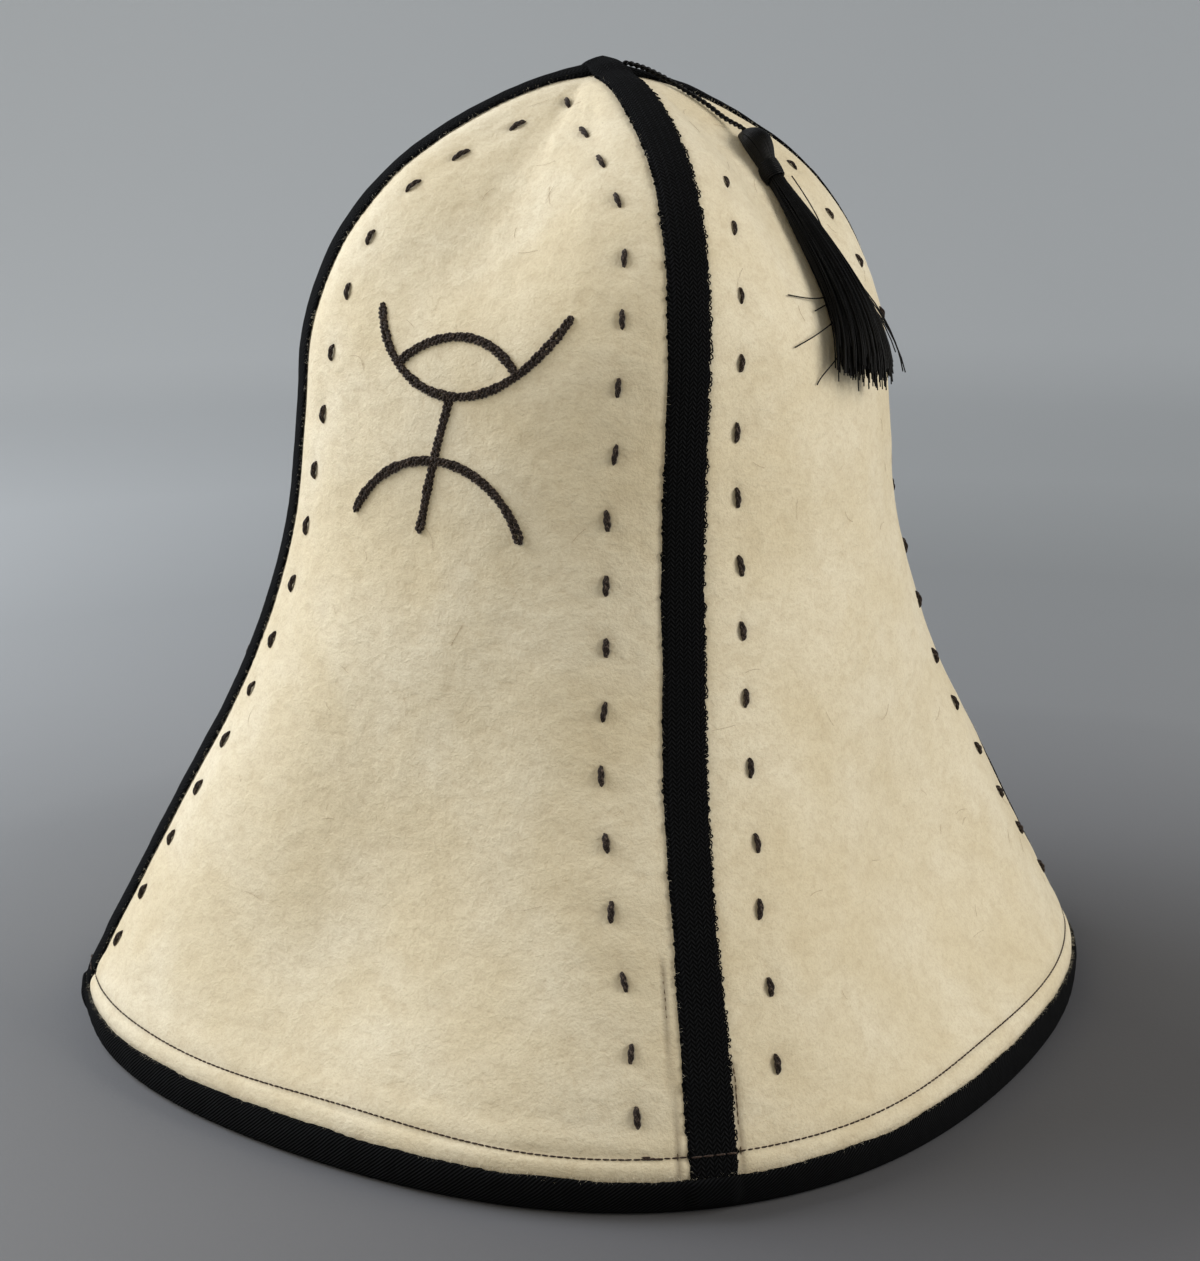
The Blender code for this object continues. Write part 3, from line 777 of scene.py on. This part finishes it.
def tape_edge(look, way, side):
    """Half the tape's width at some ways, on one side, with its small bumps."""
    wear = look.left_wear if side < 0 else look.right_wear
    bumps = Ripple(look.seed + side, [(0.0026, wear, 5), (0.0009, wear * 0.4, 4), (0.03, 0.0002, 4)])
    flare = 0.0007 * ramp(np.abs(way), 0.30, 0.37)
    return TAPE_WIDTH / 2 + bumps.read(way, way * 0.37) + flare


def tape_out(look, way, share):
    """How far the tape's face stands off the felt. share is -1 and 1 at its edges."""
    crown = 0.00035 + 0.00045 * hump(way, 0.0, 0.016)
    body = TAPE_THICKNESS * np.sqrt(np.maximum(1 - np.abs(share) ** 7, 0.0))
    out = 0.00005 + body + crown * (1 - share**2)
    if look.lifted:
        out = out + crossing_lift(way)
    pillow = Ripple(look.seed + 7, [(0.022, 0.00012, 5), (0.007, 0.00005, 5)])
    return out + pillow.read(way, share * 0.006) * (1 - share**2)


def add_tape(look, paint):
    """A seam's tape, with rounded edges, a soft middle and small worn loops along its edges."""
    seam = math.radians(look.seam_degrees)
    end = BELL.length - 0.0065
    way = np.concatenate([np.linspace(-end, -0.03, 440), np.linspace(-0.03, 0.03, 81)[1:-1],
                          np.linspace(0.03, end, 440)])[:, None]
    share = np.sin(np.linspace(-1, 1, 19) * math.pi / 2)[None, :]
    share = 0.45 * share + 0.55 * np.linspace(-1, 1, 19)[None, :]
    left = tape_edge(look, way, -1)
    right = tape_edge(look, way, 1)
    across = np.where(share < 0, left, right) * share
    points = on_tape(seam, way, across, tape_out(look, way, share))
    cloth = Cloth()
    cloth.grid(points, (across + 0.00165 * 4, way), flip=True)
    chance = np.random.default_rng(look.seed + 50)
    for side, wear in ((-1, look.left_wear), (1, look.right_wear)):
        spots = np.arange(-end + 0.008, end - 0.008, 0.0016)
        spots = spots[chance.random(len(spots)) < wear / 0.00032]
        for spot in spots:
            spread = chance.uniform(0.0004, 0.0009)
            reach = chance.uniform(0.0, 0.0004)
            turn = np.linspace(0, math.pi, 6)
            ways = spot + spread * np.cos(turn)
            over = side * (tape_edge(look, ways, side) - 0.0003 + (reach + 0.0003) * np.sin(turn))
            lift = crossing_lift(ways) if look.lifted else 0.0
            line = on_tape(seam, ways, over, 0.00045 + chance.uniform(0, 0.0003) + lift)
            cloth.tube(line, BELL.normal(line), 0.00022, 5)
    return cloth.make(look.name.replace("seam", "woven"), paint, [look.name])


# Out from the felt and up from the hem, round the fold from its outer edge to its inner one
BINDING_SECTION = [
    (0.00005, 0.01055), (0.00070, 0.01085), (0.00125, 0.01070), (0.00158, 0.01000), (0.00172, 0.00850),
    (0.00178, 0.00650), (0.00176, 0.00450), (0.00166, 0.00260), (0.00140, 0.00130), (0.00090, 0.00045),
    (0.00010, 0.00000), (-0.00130, 0.00000), (-0.00290, 0.00000), (-0.00370, 0.00050), (-0.00425, 0.00160),
    (-0.00440, 0.00350), (-0.00440, 0.00600), (-0.00425, 0.00830), (-0.00385, 0.00905), (-0.00345, 0.00890),
]


def add_binding(paint):
    """The folded tape round the hem. It swells over the tapes' lower ends."""
    section = np.array(BINDING_SECTION)
    knots = np.linspace(0, 1, len(section))
    fine = np.linspace(0, 1, 33)
    out = smooth(knots, section[:, 0], fine)[:, None]
    up = np.maximum(smooth(knots, section[:, 1], fine), 0.0)[:, None]
    turn = np.linspace(-math.pi, math.pi, 1101)[None, :]
    radius = BELL.radius_at(turn, 0.0)
    off = np.abs(turn - nearest_seam(turn)) * radius
    around = turn * HEM_RADIUS
    outer = ramp(out, -0.001, 0.001) * ramp(up, 0.0015, 0.004)
    swell = 0.00125 * (1 - ramp(off, 0.0050, 0.0082)) * outer
    lumps = Ripple(71, [(0.020, 0.00014, 6), (0.0065, 0.00008, 6)]).read(around, up)
    top = Ripple(72, [(0.030, 0.00022, 5), (0.0040, 0.00010, 5)]).read(around, 0.0)
    there = up + top * ramp(up, 0.006, 0.0105)
    stand = out + swell + lumps * ramp(up, 0.0004, 0.003)
    points = BELL.place(np.broadcast_to(turn, stand.shape), there / BELL.length, stand)
    points[..., 2] = np.where(up == 0.0, 0.0, np.maximum(points[..., 2], 0.0))
    travel = np.concatenate([[0.0], np.cumsum(np.hypot(np.diff(out[:, 0]), np.diff(up[:, 0])))])
    cloth = Cloth()
    cloth.grid(points, (travel[:, None], around))
    return cloth.make("woven_binding", paint, ["hem_binding"])


def add_running_stitches(paint):
    """Each stitch is a short spindle of yarn, drawn with three plies, that dives into the felt at both ends.
    """
    cloth = Cloth()
    chance = np.random.default_rng(5)
    for turn, climb, lean in STITCHES:
        size = 1 - (0.38 if 0 < turn < 1.6 else 0.14) * float(ramp(climb, 0.50, 0.82))
        half = STITCH_LENGTH / 2 * chance.uniform(0.90, 1.10) * (0.4 + 0.6 * size)
        rise = np.linspace(-half, half, 19)
        bow = np.sqrt(np.maximum(1 - (rise / half) ** 2, 0.0))
        out = -0.00110 + (0.00062 + 0.00080 * size) * bow
        line = on_felt(turn, climb, lean * rise, rise, out)
        taper = 0.22 + 0.78 * bow
        width = STITCH_WIDTH * size * chance.uniform(0.92, 1.08)
        cloth.twist(line, BELL.normal(line), width, STITCH_TWIST, 3, taper, sides=9, flat=0.8,
                    start=chance.uniform(0, 6))
    return cloth.make("running_stitches", paint)


def add_topstitch(paint):
    """Small machine stitches round the hem, with a few sewn twice."""
    cloth = Cloth()
    chance = np.random.default_rng(6)
    edge = Ripple(61, [(0.09, 0.00045, 5)])

    def stitch(turn, up, heading, length, thick):
        step = np.linspace(-length / 2, length / 2, 7)
        bow = 1 - (step / (length / 2)) ** 2
        out = -0.00055 + 0.00048 * bow
        line = on_felt(turn, up / BELL.length, math.cos(heading) * step, math.sin(heading) * step, out)
        cloth.tube(line, BELL.normal(line), thick * (0.45 + 0.55 * np.sqrt(bow)), 6)

    for number in range(TOPSTITCH_COUNT):
        turn = -math.pi + 2 * math.pi * (number + chance.uniform(-0.06, 0.06)) / TOPSTITCH_COUNT
        off = abs(turn - nearest_seam(turn)) * HEM_RADIUS
        up = TOPSTITCH_UP + float(edge.read(turn * HEM_RADIUS, 0.0))
        heading = chance.uniform(-0.06, 0.06)
        if off > 0.0072:
            stitch(turn, up, heading, TOPSTITCH_LENGTH, TOPSTITCH_RADIUS)
    for shift in (-0.0009, 0.0004, 0.0015, 0.0028):
        back = -0.0185 / HEM_RADIUS + shift / HEM_RADIUS
        up = TOPSTITCH_UP + chance.uniform(-0.0006, 0.0006)
        stitch(back, up, chance.uniform(-0.2, 0.2), 0.0026, 0.00030)
    return cloth.make("hem_topstitch", paint)


def add_tape_stitches(paint):
    """The topstitch where it crosses the tapes."""
    cloth = Cloth()
    for seam_degrees in (0, 90, 180, -90):
        seam = math.radians(seam_degrees)
        way = TOPSTITCH_UP - BELL.length
        if seam_degrees in (0, -90):
            base, sign = seam, 1
        else:
            base, sign = seam - math.pi, -1
        for across in np.arange(-0.0051, 0.0060, 0.0034):
            step = np.linspace(-0.0015, 0.0015, 7)
            bow = 1 - (step / 0.0015) ** 2
            out = 0.00120 + 0.00030 * bow
            line = on_tape(base, np.full(7, sign * way), across + step, out)
            cloth.tube(line, BELL.normal(line), 0.00028 * (0.45 + 0.55 * np.sqrt(bow)), 6)
    return cloth.make("tape_topstitch", paint)


def add_edge_lines(paint):
    """The fine lines of stitching beside the front tape, near the hem."""
    cloth = Cloth()
    for line in EDGE_LINES:
        up = np.linspace(line.first, line.last, 60)
        wobble = Ripple(81, [(0.012, 0.00012, 4)]).read(up, up)
        points = on_felt(0.0, 0.0, line.offset + wobble, up, -0.00040 + 0.00012 * np.sin(up * 2600))
        cloth.tube(points, BELL.normal(points), 0.00020, 5)
    return cloth.make("edge_stitch_lines", paint)


def arc_points(start, middle, end, shares):
    """Points along the arc through three places, at some shares of its sweep."""
    (ax, ay), (bx, by), (cx, cy) = start, middle, end
    turn = 2 * (ax * (by - cy) + bx * (cy - ay) + cx * (ay - by))
    a2, b2, c2 = ax * ax + ay * ay, bx * bx + by * by, cx * cx + cy * cy
    ox = (a2 * (by - cy) + b2 * (cy - ay) + c2 * (ay - by)) / turn
    oy = (a2 * (cx - bx) + b2 * (ax - cx) + c2 * (bx - ax)) / turn
    first = math.atan2(ay - oy, ax - ox)
    sweep = (math.atan2(cy - oy, cx - ox) - first) % (2 * math.pi)
    reach = (math.atan2(by - oy, bx - ox) - first) % (2 * math.pi)
    if reach > sweep:
        sweep -= 2 * math.pi
    radius = math.hypot(ax - ox, ay - oy)
    angle = first + sweep * np.asarray(shares)
    points = np.stack([ox + radius * np.cos(angle), oy + radius * np.sin(angle)], axis=-1)
    return points * SIGN_WIDTH, abs(sweep) * radius * SIGN_WIDTH


def on_sign(across, up, out):
    """A place of the sign, at some distance across and up from its middle."""
    middle = float(np.interp(SIGN_HEIGHT, BELL.height, BELL.climb))
    climb = middle + (0.97 * up + 0.0016) / BELL.length
    across = 0.955 * across - 0.0002
    turn = SIGN_TURN + across / BELL.radius_at(SIGN_TURN, climb)
    return BELL.place(turn, climb, out + felt_waves(turn, climb))


LINK_LENGTH = 0.0040
LINK_WIDTH = 0.0034
YARN_WIDTH = 0.00185


def add_sign(paint):
    """The sign's strokes as rows of chain stitches: each link begins inside the one before it."""
    cloth = Cloth()
    chance = np.random.default_rng(8)
    for layer, stroke in enumerate(SIGN_STROKES):
        _, length = arc_points(*stroke[1:], [0.0])
        count = round(length / LINK_LENGTH)
        size = length / count
        ends, _ = arc_points(*stroke[1:], np.arange(count + 1) / count)
        for start, end in zip(ends[:-1], ends[1:]):
            ahead = unit(end - start)
            aside = np.array([-ahead[1], ahead[0]])
            turn = np.linspace(0, 2 * math.pi, 29)
            swell = (1 - np.cos(turn)) / 2
            along = size * (-0.16 + 1.32 * swell)
            wide = (LINK_WIDTH * chance.uniform(0.86, 1.10) - YARN_WIDTH) / 2
            across = wide * np.sin(turn) * (0.85 + 0.30 * swell)
            out = 0.00010 + 0.00055 * swell + 0.00020 * (layer % 2)
            flat = start[None] + ahead[None] * along[:, None] + aside[None] * across[:, None]
            line = on_sign(flat[:, 0], flat[:, 1], out)
            cloth.twist(line, BELL.normal(line), YARN_WIDTH, 0.0030, sides=7, start=chance.uniform(0, 6))
    return cloth.make("chain_stitched_sign", paint, ["embroidered_sign"])


GOLDEN_ANGLE = 2.39996
GIRTH_ALONG = [0.0, 0.012, 0.035, 0.065, 0.10, 0.14, 0.18, 0.22, 0.27, 0.33, 0.42, 0.60, 0.80, 0.96, 1.0]
GIRTH_WIDTH = [0.0018, 0.0042, 0.0066, 0.0083, 0.0090, 0.0083, 0.0067, 0.0056, 0.0054, 0.0064, 0.0086,
               0.0136, 0.0230, 0.0315, 0.0325]
GIRTH_DEPTH = [0.0018, 0.0042, 0.0066, 0.0083, 0.0090, 0.0083, 0.0067, 0.0056, 0.0054, 0.0060, 0.0074,
               0.0098, 0.0120, 0.0135, 0.0135]


def tassel_point(along, left, out):
    """A point by the tassel's middle line: along it, to its left, and off the felt."""
    along, left, out = np.broadcast_arrays(along, left, out)
    shares = [bend.along for bend in TASSEL_ROUTE]
    turns = [bend.turn_degrees for bend in TASSEL_ROUTE]
    reach = CORD_ROUTE[-1].down + (CORD_DIAMETER / 2 + CLEARANCE) / BELL.length

    def foot(share):
        turn = np.radians(smooth(shares, turns, share))
        return BELL.point(turn, 1 - reach - share * TASSEL_LENGTH / BELL.length)

    here = foot(along)
    step = 0.01
    ahead = unit(foot(along + step) - foot(along - step))
    outward = BELL.normal(here)
    return here + np.cross(ahead, outward) * left[..., None] + outward * out[..., None]


def girth(along):
    """The tassel's width and depth at some shares of its length."""
    there = np.clip(along, 0.0, 1.0)
    return smooth(GIRTH_ALONG, GIRTH_WIDTH, there), smooth(GIRTH_ALONG, GIRTH_DEPTH, there)


def tassel_middle(along):
    return CLEARANCE + girth(along)[1] / 2


def add_tassel(paint):
    """A head of laid threads, a bound neck and a skirt of loose threads over a dark core."""
    cloth = Cloth()
    chance = np.random.default_rng(12)

    def body(first, last, rows, share):
        along = np.linspace(first, last, rows)[:, None]
        around = np.linspace(0, 2 * math.pi, 25)[None, :]
        width, depth = (size * share for size in girth(along))
        out = tassel_middle(along) + depth / 2 * np.sin(around)
        cloth.grid(tassel_point(along, width / 2 * np.cos(around), out), flip=True)

    body(0.004, 0.26, 30, 0.84)
    body(0.26, 0.86, 20, 0.66)
    for number in range(HEAD_THREADS):
        angle = 2 * math.pi * (number + chance.uniform(-0.2, 0.2)) / HEAD_THREADS
        along = np.linspace(0.0, 0.205, 25)
        around = angle + 0.5 * along / 0.205
        width, depth = (size - 0.0006 for size in girth(along))
        out = tassel_middle(along) + depth / 2 * np.sin(around)
        line = tassel_point(along, width / 2 * np.cos(around), out)
        cloth.tube(line, unit(line - tassel_point(0.08, 0.0, 0.005)), 0.00036, 6)
    wound = np.linspace(0, NECK_WINDINGS * 2 * math.pi, NECK_WINDINGS * 22)
    along = 0.195 + 0.070 * wound / wound[-1]
    bulge = 1 + 0.10 * np.sin(math.pi * wound / wound[-1])
    across = (NECK_WIDTH / 2 + 0.0001) * bulge * np.cos(wound)
    out = tassel_middle(along) + (NECK_WIDTH / 2 + 0.0001) * bulge * np.sin(wound)
    axis = tassel_point(along, 0.0, tassel_middle(along))
    line = tassel_point(along, across, out)
    cloth.tube(line, unit(line - axis), 0.00034, 7)
    for number in range(TASSEL_THREADS):
        reach = math.sqrt((number + 0.5) / TASSEL_THREADS)
        angle = number * GOLDEN_ANGLE
        end = 0.985 + chance.normal(0, 0.022) - 0.05 * (chance.random() < 0.12)
        share = np.linspace(0, 1, 15)
        along = 0.245 + (end - 0.245) * share
        width, depth = (size - 0.0005 for size in girth(along))
        sway = chance.normal(0, 0.0008) * share**2 + chance.normal(0, 0.00035) * np.sin(share * 7 + angle)
        left = width / 2 * reach * math.cos(angle) + sway
        rise = depth / 2 * reach * math.sin(angle) + chance.normal(0, 0.0004) * share**2
        out = np.maximum(tassel_middle(along) + rise, 0.0006)
        line = tassel_point(along, left, out)
        cloth.tube(line, (0.0, -0.7, 0.7), 0.00021, 5)
    for stray in STRAYS:
        share = np.linspace(0, 1, 18)
        along = 0.26 + (stray.ends - 0.26) * share
        leave = ramp(along, stray.leaves, stray.ends + 0.12)
        start = math.copysign(1, stray.left) * girth(along)[0] * 0.42
        left = start * (1 - leave) + stray.left * 1.25 * leave
        out = tassel_middle(along) + 0.0022 * leave * (1 + math.sin(stray.ends * 40))
        line = tassel_point(along, left, out)
        cloth.tube(line, (0.0, -0.7, 0.7), 0.00022, 5)
    for pixels in STRAY_PIXELS:
        turn, climb = from_pixels(pixels)
        knots = np.linspace(0, 1, len(pixels))
        share = np.linspace(0, 1, 16)
        lift = 0.0014 + 0.0030 * (1 - share) ** 2 + 0.0006 * np.sin(share * 5)
        line = BELL.place(smooth(knots, turn, share), smooth(knots, climb, share), lift)
        cloth.tube(line, (0.0, -0.7, 0.7), 0.00022, 5)
    return cloth.make("thread_tassel", paint, ["tassel"])


def add_cord(paint):
    """The twisted cord, from under the tapes at the tip into the tassel's head."""
    downs = [place.down for place in CORD_ROUTE]
    down = np.linspace(downs[0], downs[-1], 60)
    turn = np.radians(smooth(downs, [place.turn_degrees for place in CORD_ROUTE], down))
    lift = smooth(downs, [place.lift for place in CORD_ROUTE], down)
    under = BELL.place(np.radians([57.0, 60.5, 63.0]), 1 - np.array([0.011, 0.016, 0.021]),
                       np.array([0.0006, 0.0015, 0.0025]))
    seen = np.concatenate([under, BELL.place(turn, 1 - down, CORD_DIAMETER / 2 + lift)])
    along = np.linspace(0.05, 0.60, 34)
    hidden = tassel_point(along, 0.0, tassel_middle(along))
    knots = np.concatenate([seen, hidden])
    travel = travelled(knots)
    places = np.linspace(0, travel[-1], 300)
    line = np.stack([smooth(travel, knots[:, axis], places) for axis in range(3)], axis=-1)
    cloth = Cloth()
    cloth.twist(line, BELL.normal(line), CORD_DIAMETER, CORD_TWIST, sides=8)
    cord = cloth.make("twisted_cord", paint, ["tassel_cord"])


def ribbons(cloth, roots, heading, lift, length, width, curl, seed):
    """Many thin bent fibres at once. heading lies in the face, and lift is how far each rises."""
    chance = np.random.default_rng(seed)
    count = len(roots)
    normal = BELL.normal(roots)
    heading = unit(heading - normal * np.sum(heading * normal, axis=-1, keepdims=True))
    aside = np.cross(heading, normal)
    bend = chance.normal(0, curl, count)[:, None]
    rows = []
    for share in (0.0, 0.35, 0.7, 1.0):
        way = heading * share + aside * bend * share**2
        height = lift[:, None] * math.sin(share * 2.2)
        rows.append(roots + way * length[:, None] + normal * height)
    rows = np.stack(rows, axis=1)
    across = aside * width[:, None] / 2
    sizes = np.array([1.0, 0.9, 0.7, 0.3])[None, :, None]
    left = rows - across[:, None] * sizes
    right = rows + across[:, None] * sizes
    both = np.stack([left, right], axis=2).reshape(-1, 3)
    first = np.arange(count)[:, None] * 8 + np.arange(3)[None, :] * 2 + cloth.count
    quads = np.stack([first, first + 1, first + 3, first + 2], axis=-1).reshape(-1, 4)
    cloth.points.append(both)
    cloth.quads.append(quads)
    cloth.uvs.append(np.zeros((len(both), 2)))
    cloth.painted_shades.append(np.zeros(len(both)))
    cloth.count += len(both)


def add_nap(paint):
    """Loose fibres of the felt: over all its face, and over the edges of the tapes and binding."""
    cloth = Cloth()
    chance = np.random.default_rng(14)

    def headings(roots, angle):
        ahead = np.stack([-roots[:, 1], roots[:, 0], np.zeros(len(roots))], axis=-1)
        normal = BELL.normal(roots)
        level = unit(ahead)
        upward = np.cross(normal, level)
        return level * np.cos(angle)[:, None] + upward * np.sin(angle)[:, None]

    count = 9000
    climb = chance.uniform(0.05, 0.985, count * 2)
    keep = chance.random(count * 2) < BELL.read(BELL.radius, climb) / HEM_RADIUS
    climb = climb[keep][:count]
    turn = chance.uniform(-math.pi, math.pi, len(climb))
    clear = np.abs(turn - nearest_seam(turn)) * BELL.radius_at(turn, climb) > TAPE_WIDTH / 2 + 0.0004
    turn, climb = turn[clear], climb[clear]
    relief, _ = felt_relief(turn, climb)
    roots = BELL.place(turn, climb, relief - 0.0001)
    n = len(roots)
    ribbons(cloth, roots, headings(roots, chance.uniform(0, 2 * math.pi, n)),
            chance.uniform(0.0001, 0.0008, n), chance.uniform(0.0010, 0.0030, n),
            chance.uniform(0.00004, 0.00008, n), 0.5, 15)
    for seam_degrees in (0, 90, 180, -90):
        for side in (-1, 1):
            n = 420
            up = chance.uniform(0.012, BELL.length - 0.012, n)
            climb = up / BELL.length
            base = math.radians(seam_degrees)
            off = TAPE_WIDTH / 2 + chance.uniform(0.0002, 0.0011, n)
            turn = base + side * off / BELL.radius_at(base, climb)
            roots = BELL.place(turn, climb, -0.0001)
            toward = headings(roots, chance.normal(0, 0.8, n)) * side
            ribbons(cloth, roots, toward * -1, chance.uniform(0.0005, 0.0013, n),
                    chance.uniform(0.0005, 0.0016, n), chance.uniform(0.00003, 0.00006, n), 0.6, 16)
    n = 3600
    turn = chance.uniform(-math.pi, math.pi, n)
    up = chance.uniform(0.0110, 0.0122, n)
    roots = BELL.place(turn, up / BELL.length, 0.0)
    ribbons(cloth, roots, headings(roots, chance.normal(-math.pi / 2, 0.7, n)),
            chance.uniform(0.0007, 0.0017, n), chance.uniform(0.0006, 0.0018, n),
            chance.uniform(0.00003, 0.00005, n), 0.6, 17)
    return cloth.make("felt_nap", paint)


def add_tan_fibres(paint):
    """A few long stray fibres that lie on the felt."""
    cloth = Cloth()
    chance = np.random.default_rng(18)
    n = 150
    turn = chance.uniform(-math.pi, math.pi, n)
    climb = chance.uniform(0.08, 0.9, n)
    clear = np.abs(turn - nearest_seam(turn)) * BELL.radius_at(turn, climb) > 0.012
    for place_turn, place_climb in zip(turn[clear], climb[clear]):
        length = chance.uniform(0.003, 0.008)
        heading = chance.uniform(0, math.pi)
        step = np.linspace(-length / 2, length / 2, 9)
        bow = chance.normal(0, 0.35) * (step**2) / length
        side = np.cos(heading) * step - np.sin(heading) * bow
        rise = np.sin(heading) * step + np.cos(heading) * bow
        there = place_climb + rise / BELL.length
        around = place_turn + side / BELL.radius_at(place_turn, there)
        relief, _ = felt_relief(around, there)
        line = BELL.place(around, there, relief + 0.00005 + chance.uniform(0, 0.0002))
        cloth.tube(line, BELL.normal(line), 0.000035, 4)
    return cloth.make("stray_fibres", paint)


def add_camera():
    """The photograph's own view: its lens, its height and its angle."""
    place, right, up, ahead = view_axes()
    data = bpy.data.cameras.new("camera")
    data.sensor_width = SENSOR_MM
    data.lens = FOCAL_PIXELS * SENSOR_MM / PHOTO_HEIGHT
    data.clip_start = 0.01
    data.clip_end = 30.0
    camera = bpy.data.objects.new("camera", data)
    bpy.context.scene.collection.objects.link(camera)
    turn = Matrix((right, up, -ahead)).transposed().to_4x4()
    camera.matrix_world = Matrix.Translation(place) @ turn
    bpy.context.scene.camera = camera


TARGET = Vector((0.0, 0.0, 0.16))


Lamp = namedtuple("Lamp", "name azimuth_degrees elevation_degrees distance size watts color")
LIGHTS = [
    Lamp("key", -120, 40, 1.3, 0.9, 10.5, (0.95, 1.0, 1.08)),
    Lamp("low_key", -103, 24, 1.3, 0.9, 6.9, (1.0, 0.99, 0.97)),
    Lamp("front", -30, 28, 1.3, 0.9, 2.2, (1.0, 0.80, 0.44)),
    Lamp("side", 62, 22, 1.3, 0.9, 10.3, (1.0, 0.965, 0.90)),
    Lamp("top", 0, 85, 1.4, 1.2, 0.7, (1.0, 1.0, 1.0)),
]


def add_light(lamp):
    """A soft round light that faces the hat's middle."""
    azimuth = math.radians(lamp.azimuth_degrees)
    elevation = math.radians(lamp.elevation_degrees)
    away = Vector((math.sin(azimuth) * math.cos(elevation), -math.cos(azimuth) * math.cos(elevation),
                   math.sin(elevation)))
    data = bpy.data.lights.new(lamp.name, "AREA")
    data.shape = "DISK"
    data.size = lamp.size
    data.energy = lamp.watts
    data.color = lamp.color
    light = bpy.data.objects.new(lamp.name, data)
    bpy.context.scene.collection.objects.link(light)
    light.location = TARGET + away * lamp.distance
    light.rotation_mode = "QUATERNION"
    light.rotation_quaternion = away.to_track_quat("Z", "Y")
    light.visible_camera = False


def add_studio():
    """A pale sweep that rises all round, and soft lights: two behind the left side, a broad one on the
    right, and weak ones in front and on top."""
    bend = np.linspace(0, QUARTER, 16)[1:]
    radius = np.concatenate([np.linspace(0.0005, 1.5, 30), 1.5 + 0.9 * np.sin(bend), [2.4, 2.4]])
    height = np.concatenate([np.zeros(30), 0.9 * (1 - np.cos(bend)), [2.0, 3.2]])
    around = np.linspace(0, 2 * math.pi, 97)
    points = np.stack([radius[:, None] * np.cos(around), radius[:, None] * np.sin(around),
                       np.broadcast_to(height[:, None], (len(radius), 97))], axis=-1)
    mesh = bpy.data.meshes.new("sweep")
    mesh.from_pydata(points.reshape(-1, 3).tolist(), [], grid_quads(*points.shape[:2]).tolist())
    mesh.shade_smooth()
    mesh.materials.append(backdrop_paint())
    sweep = bpy.data.objects.new("sweep", mesh)
    sweep.location.z = -0.0004
    bpy.context.scene.collection.objects.link(sweep)
    for light in LIGHTS:
        add_light(light)
    world = bpy.data.worlds.new("room")
    world.use_nodes = True
    world.node_tree.nodes["Background"].inputs["Color"].default_value = (1.0, 0.97, 0.93, 1.0)
    world.node_tree.nodes["Background"].inputs["Strength"].default_value = 0.08
    bpy.context.scene.world = world
    bpy.context.scene.view_settings.view_transform = "Standard"
    bpy.context.scene.view_settings.look = "None"


def build_scene():
    add_camera()
    rayon = rayon_paint()
    tassel = add_tassel(rayon)
    add_cord(rayon)
    felt = felt_paint()
    for name, middle in (("gore_front_left", -45), ("gore_front_right", 45),
                         ("gore_back_right", 135), ("gore_back_left", -135)):
        add_gore(name, middle, felt)
    herringbone = tape_paint("black_herringbone_tape", HERRINGBONE_COLUMN)
    for look in TAPES:
        add_tape(look, herringbone)
    add_binding(tape_paint("black_twill_binding", 0.0))
    wool = yarn_paint("dark_wool_yarn", (0.006, 0.0038, 0.003), (0.028, 0.018, 0.014), (0.170, 0.125, 0.098))
    thread = yarn_paint("brown_sewing_thread", (0.016, 0.008, 0.006), (0.048, 0.027, 0.019),
                        (0.12, 0.08, 0.06))
    add_running_stitches(wool)
    add_sign(wool)
    add_topstitch(thread)
    add_tape_stitches(thread)
    add_edge_lines(yarn_paint("tan_thread", (0.060, 0.038, 0.022), (0.14, 0.095, 0.055), (0.30, 0.22, 0.14)))
    add_nap(fibre_paint("cream_fibre", (0.86, 0.78, 0.60)))
    add_tan_fibres(fibre_paint("tan_fibre", (0.40, 0.27, 0.15)))
    add_studio()


build_scene()
